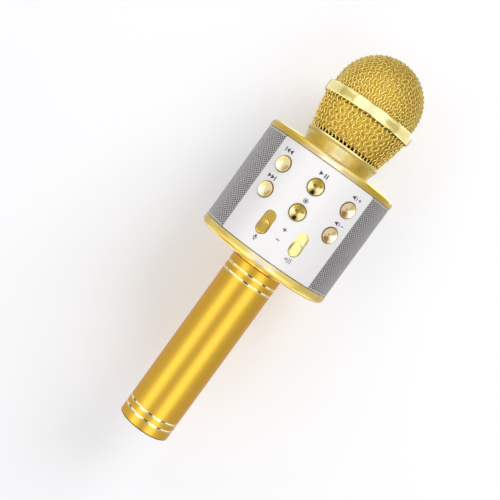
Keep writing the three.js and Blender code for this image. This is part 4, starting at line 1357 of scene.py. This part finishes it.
def build_backdrop(n):
    tc = n.new("ShaderNodeTexCoord")
    big = n.noise(tc.outputs["Object"], 2.0, 2.0)
    fine = n.noise(tc.outputs["Object"], 900.0, 2.0)
    c = n.mix(big, (0.855, 0.86, 0.885), (0.885, 0.885, 0.905))
    d = n.new("ShaderNodeBsdfDiffuse")
    n.l.new(c, d.inputs["Color"])
    e = n.new("ShaderNodeEmission")
    n.l.new(c, e.inputs["Color"])
    e.inputs["Strength"].default_value = 0.22
    add = n.new("ShaderNodeAddShader")
    n.l.new(d.outputs[0], add.inputs[0])
    n.l.new(e.outputs[0], add.inputs[1])
    geo = n.new("ShaderNodeNewGeometry")
    tr = n.new("ShaderNodeBsdfTransparent")
    mx = n.new("ShaderNodeMixShader")
    lw = n.new("ShaderNodeLayerWeight")
    lw.inputs["Blend"].default_value = 0.5
    fade = n.math("MAXIMUM", geo.outputs["Backfacing"], n.smooth(lw.outputs["Facing"], 0.35, 0.75))
    n.l.new(fade, mx.inputs[0])
    n.l.new(add.outputs[0], mx.inputs[1])
    n.l.new(tr.outputs[0], mx.inputs[2])
    n.finish(mx)


back.materials.append(material("backdrop_paper", build_backdrop))
backdrop.visible_diffuse = False
backdrop.visible_glossy = False
backdrop.visible_transmission = False
backdrop.visible_shadow = False

# brightness of the room's walls against the azimuth, 0 towards the controls and positive to their right
WALLS = [
    (-180, 0.60), (-150, 0.64), (-125, 0.64), (-109, 0.60), (-93, 0.53), (-75, 0.55), (-55, 0.62), (-20, 0.64), (-13, 0.60), (-6, 0.42),
    (4, 0.42), (10, 0.60), (30, 0.62), (45, 0.60), (64, 0.55), (90, 0.50), (110, 0.50), (125, 0.58), (150, 0.68), (180, 0.60),
]
world = bpy.data.worlds.new("studio")
scene.world = world
world.use_nodes = True
wn = Nodes(world.node_tree)
tc = wn.new("ShaderNodeTexCoord")
sep = wn.new("ShaderNodeSeparateXYZ")
wn.l.new(tc.outputs["Generated"], sep.inputs[0])
azimuth = wn.math("MULTIPLY", wn.math("ARCTAN2", sep.outputs[0], wn.math("MULTIPLY", sep.outputs[1], -1.0)), 180 / PI)
elevation = wn.math("MULTIPLY", wn.math("ARCSINE", sep.outputs[2]), 180 / PI)
ring = wn.ramp(
    wn.math("DIVIDE", wn.math("ADD", azimuth, 180.0), 360.0),
    [((a + 180) / 360, (b, b, b)) for a, b in WALLS],
)
strength = wn.math("ADD", wn.smooth(wn.math("MULTIPLY", elevation, -1.0), 18, 30, 0.0, 0.35), ring)
# brighter overhead and underneath, broken by small dark flags that the bright-cut grooves pick up
high = wn.smooth(wn.math("ABSOLUTE", elevation, 0.0), 22, 36)
strength = wn.math("ADD", strength, wn.math("MULTIPLY", high, 0.45))
for a0, half_width in ((-2, 16), (84, 11), (-121, 11), (160, 12)):
    flag = wn.window(azimuth, a0 - half_width, a0 + half_width, 3)
    strength = wn.math("MULTIPLY", strength, wn.math("SUBTRACT", 1.0, wn.math("MULTIPLY", wn.math("MULTIPLY", flag, high), 0.96)))
bg_light = wn.new("ShaderNodeBackground")
wn.put(bg_light, "Color", (1.0, 0.99, 0.985))
wn.put(bg_light, "Strength", strength)
bg_cam = wn.new("ShaderNodeBackground")
wn.put(bg_cam, "Color", (0.875, 0.875, 0.89))
wn.put(bg_cam, "Strength", 1.0)
lp = wn.new("ShaderNodeLightPath")
mixw = wn.new("ShaderNodeMixShader")
wn.l.new(lp.outputs["Is Camera Ray"], mixw.inputs[0])
wn.l.new(bg_light.outputs[0], mixw.inputs[1])
wn.l.new(bg_cam.outputs[0], mixw.inputs[2])
ow = wn.new("ShaderNodeOutputWorld")
wn.l.new(mixw.outputs[0], ow.inputs["Surface"])


def area(name, az, el, dist, w, hgt, radiance, target=(0, 0, 0.13), only=None, without=None, color=None, unblocked=False):
    """A rectangular soft light that faces the target, with its brightness given as radiance. It lights only / all but some pieces."""
    light = bpy.data.lights.new(name, "AREA")
    light.shape = "RECTANGLE"
    light.size, light.size_y = w, hgt
    rgb = color or (radiance,) * 3
    light.energy = max(rgb) * PI * w * hgt
    light.color = tuple(q / max(rgb) for q in rgb)
    ob = bpy.data.objects.new(name, light)
    scene.collection.objects.link(ob)
    a, e = math.radians(az), math.radians(el)
    d = Vector((math.sin(a) * math.cos(e), -math.cos(a) * math.cos(e), math.sin(e)))
    ob.location = Vector(target) + d * dist
    ob.rotation_mode = "QUATERNION"
    ob.rotation_quaternion = d.to_track_quat("Z", "Y")
    ob.visible_camera = False
    if only or without:
        group = bpy.data.collections.new(name + "_receivers")
        for o in scene.objects:
            if o.type != "MESH":
                continue
            hit = any(o.name.startswith(p) for p in (only or without))
            if (only and hit) or (without and not hit):
                group.objects.link(o)
        ob.light_linking.receiver_collection = group
        if unblocked:
            ob.light_linking.blocker_collection = group
    return ob


HANDLE = ["handle_tube_shell"]
WIRES = ["grille_lower_wires", "grille_dome_wires"]
area("strip_left", -41, 0, 0.9, 0.46, 1.6, 1.05, only=HANDLE + ["button_"] + WIRES, target=(0, 0, 0.055))
area("strip_right", 37, 0, 0.9, 0.52, 1.6, 1.05, only=HANDLE + ["button_"] + WIRES, target=(0, 0, 0.055))
area("button_fill", 0, 5, 0.9, 5.0, 1.6, 0.28, only=["button_"], target=(0, 0, 0.15))
area("echo_card", 30, 0, 0.9, 1.2, 1.2, 0.55, only=["slider_knob_echo"], target=(0, 0, 0.137))
area("cap_wide", -2, 0, 0.9, 2.14, 2.4, 0, color=(0.16, 0.27, 1.8), only=["top_cap"], target=(0, 0, 0.184))
area("cap_core", -2, 0, 0.85, 0.55, 2.4, 0, color=(0.64, 0.90, 4.3), only=["top_cap"], target=(0, 0, 0.184))
area("base_wide", 0, 0, 0.9, 6.0, 2.4, 0, color=(0.25, 0.36, 0.95), only=["bottom_cap"], target=(0, 0, 0.117))
area("base_core", 0, 0, 0.85, 0.75, 2.4, 0, color=(0.30, 0.46, 3.8), only=["bottom_cap"], target=(0, 0, 0.117))
for side, a0 in (("left", -100), ("right", 100)):
    area(f"base_{side}", a0, 0, 0.9, 0.75, 2.4, 0, color=(0.15, 0.24, 0.75), only=["bottom_cap"], target=(0, 0, 0.117))
area("neck_card", -5, 0, 0.9, 1.0, 2.4, 0, color=(1.02, 1.55, 2.60), only=["neck", "handle_socket"], target=(0, 0, 0.188))
area("bead_card", -5, 0, 0.9, 5.0, 3.0, 0, color=(0.76, 0.82, 0.96), only=["grille_base", "head_seal"], target=(0, 0, 0.192))
area("slider_top", 0, 55, 0.9, 0.9, 0.6, 0, color=(1.5, 1.9, 3.0), only=["slider_knob"], target=(0, 0, 0.137))
area("band_card", -2, 2, 0.9, 1.66, 2.4, 0, color=(0.50, 0.65, 1.7), only=["grille_band"], target=(0, 0, 0.2165))
area("band_fill", 0, 2, 0.9, 8.0, 2.4, 0, color=(0.10, 0.11, 0.05), only=["grille_band"], target=(0, 0, 0.2165))
area("band_left", -119, 2, 0.9, 1.08, 1.6, 0, color=(0.30, 0.36, 0.55), only=["grille_band"], target=(0, 0, 0.2165))
area("band_right", 113, 2, 0.9, 1.17, 1.6, 0, color=(0.42, 0.47, 0.8), only=["grille_band"], target=(0, 0, 0.2165))
for side, a0 in (("left", -86), ("right", 68)):
    area(f"band_above_{side}", a0, 27, 0.9, 1.3, 0.30, 0, color=(0.45, 0.55, 1.2), only=["grille_band"], target=(0, 0, 0.2165))
    area(f"band_below_{side}", a0, -17, 0.9, 1.3, 0.30, 0, color=(0.45, 0.55, 1.2), only=["grille_band"], target=(0, 0, 0.2165))
area("mesh_fill", -16, 22, 0.9, 2.4, 1.6, 0.35, only=WIRES, target=(0, 0, 0.22))
area("foam_glow", -18, 12, 0.9, 2.0, 2.0, 1.15, only=["foam_windscreen"], unblocked=True, target=(0, 0, 0.21))
area("key", 32, 50, 1.3, 0.8, 0.8, 4.0, only=["backdrop", "front_panel", "print_", "rear_panel"], target=(0, 0, 0.13))
area("panel_fill", -12, 5, 1.3, 2.0, 1.4, 0.42, only=["front_panel"], target=(0, 0, 0.15))
area("fill_back", 165, 35, 1.4, 1.2, 1.2, 1.2, target=(0, 0, 0.13), without=["backdrop", "side_grille_right"] + WIRES)

# ============================================================ camera at the photograph's view
def rot(axis, t):
    c, s = math.cos(t), math.sin(t)
    if axis == "x":
        return np.array([[1, 0, 0], [0, c, -s], [0, s, c]])
    if axis == "y":
        return np.array([[c, 0, s], [0, 1, 0], [-s, 0, c]])
    return np.array([[c, -s, 0], [s, c, 0], [0, 0, 1]])


Rc = rot("y", 0.0566) @ rot("x", 0.0629) @ rot("z", 0.628)
Bm = np.array([[1, 0, 0], [0, 0, -1], [0, 1, 0]], float)
Mc = Rc @ Bm
cam_data = bpy.data.cameras.new("camera")
cam_data.sensor_width = 36
cam_data.lens = 997 / 500 * 36
cam_data.clip_start, cam_data.clip_end = 0.01, 20
cam = bpy.data.objects.new("camera", cam_data)
scene.collection.objects.link(cam)
cam.matrix_world = Matrix(
    (
        (Mc[0][0], -Mc[1][0], -Mc[2][0], -0.0039),
        (Mc[0][1], -Mc[1][1], -Mc[2][1], -0.5575),
        (Mc[0][2], -Mc[1][2], -Mc[2][2], 0.1635),
        (0, 0, 0, 1),
    )
)
scene.camera = cam
scene.view_settings.view_transform = "Standard"
scene.view_settings.look = "None"
scene.view_settings.exposure = 0.0
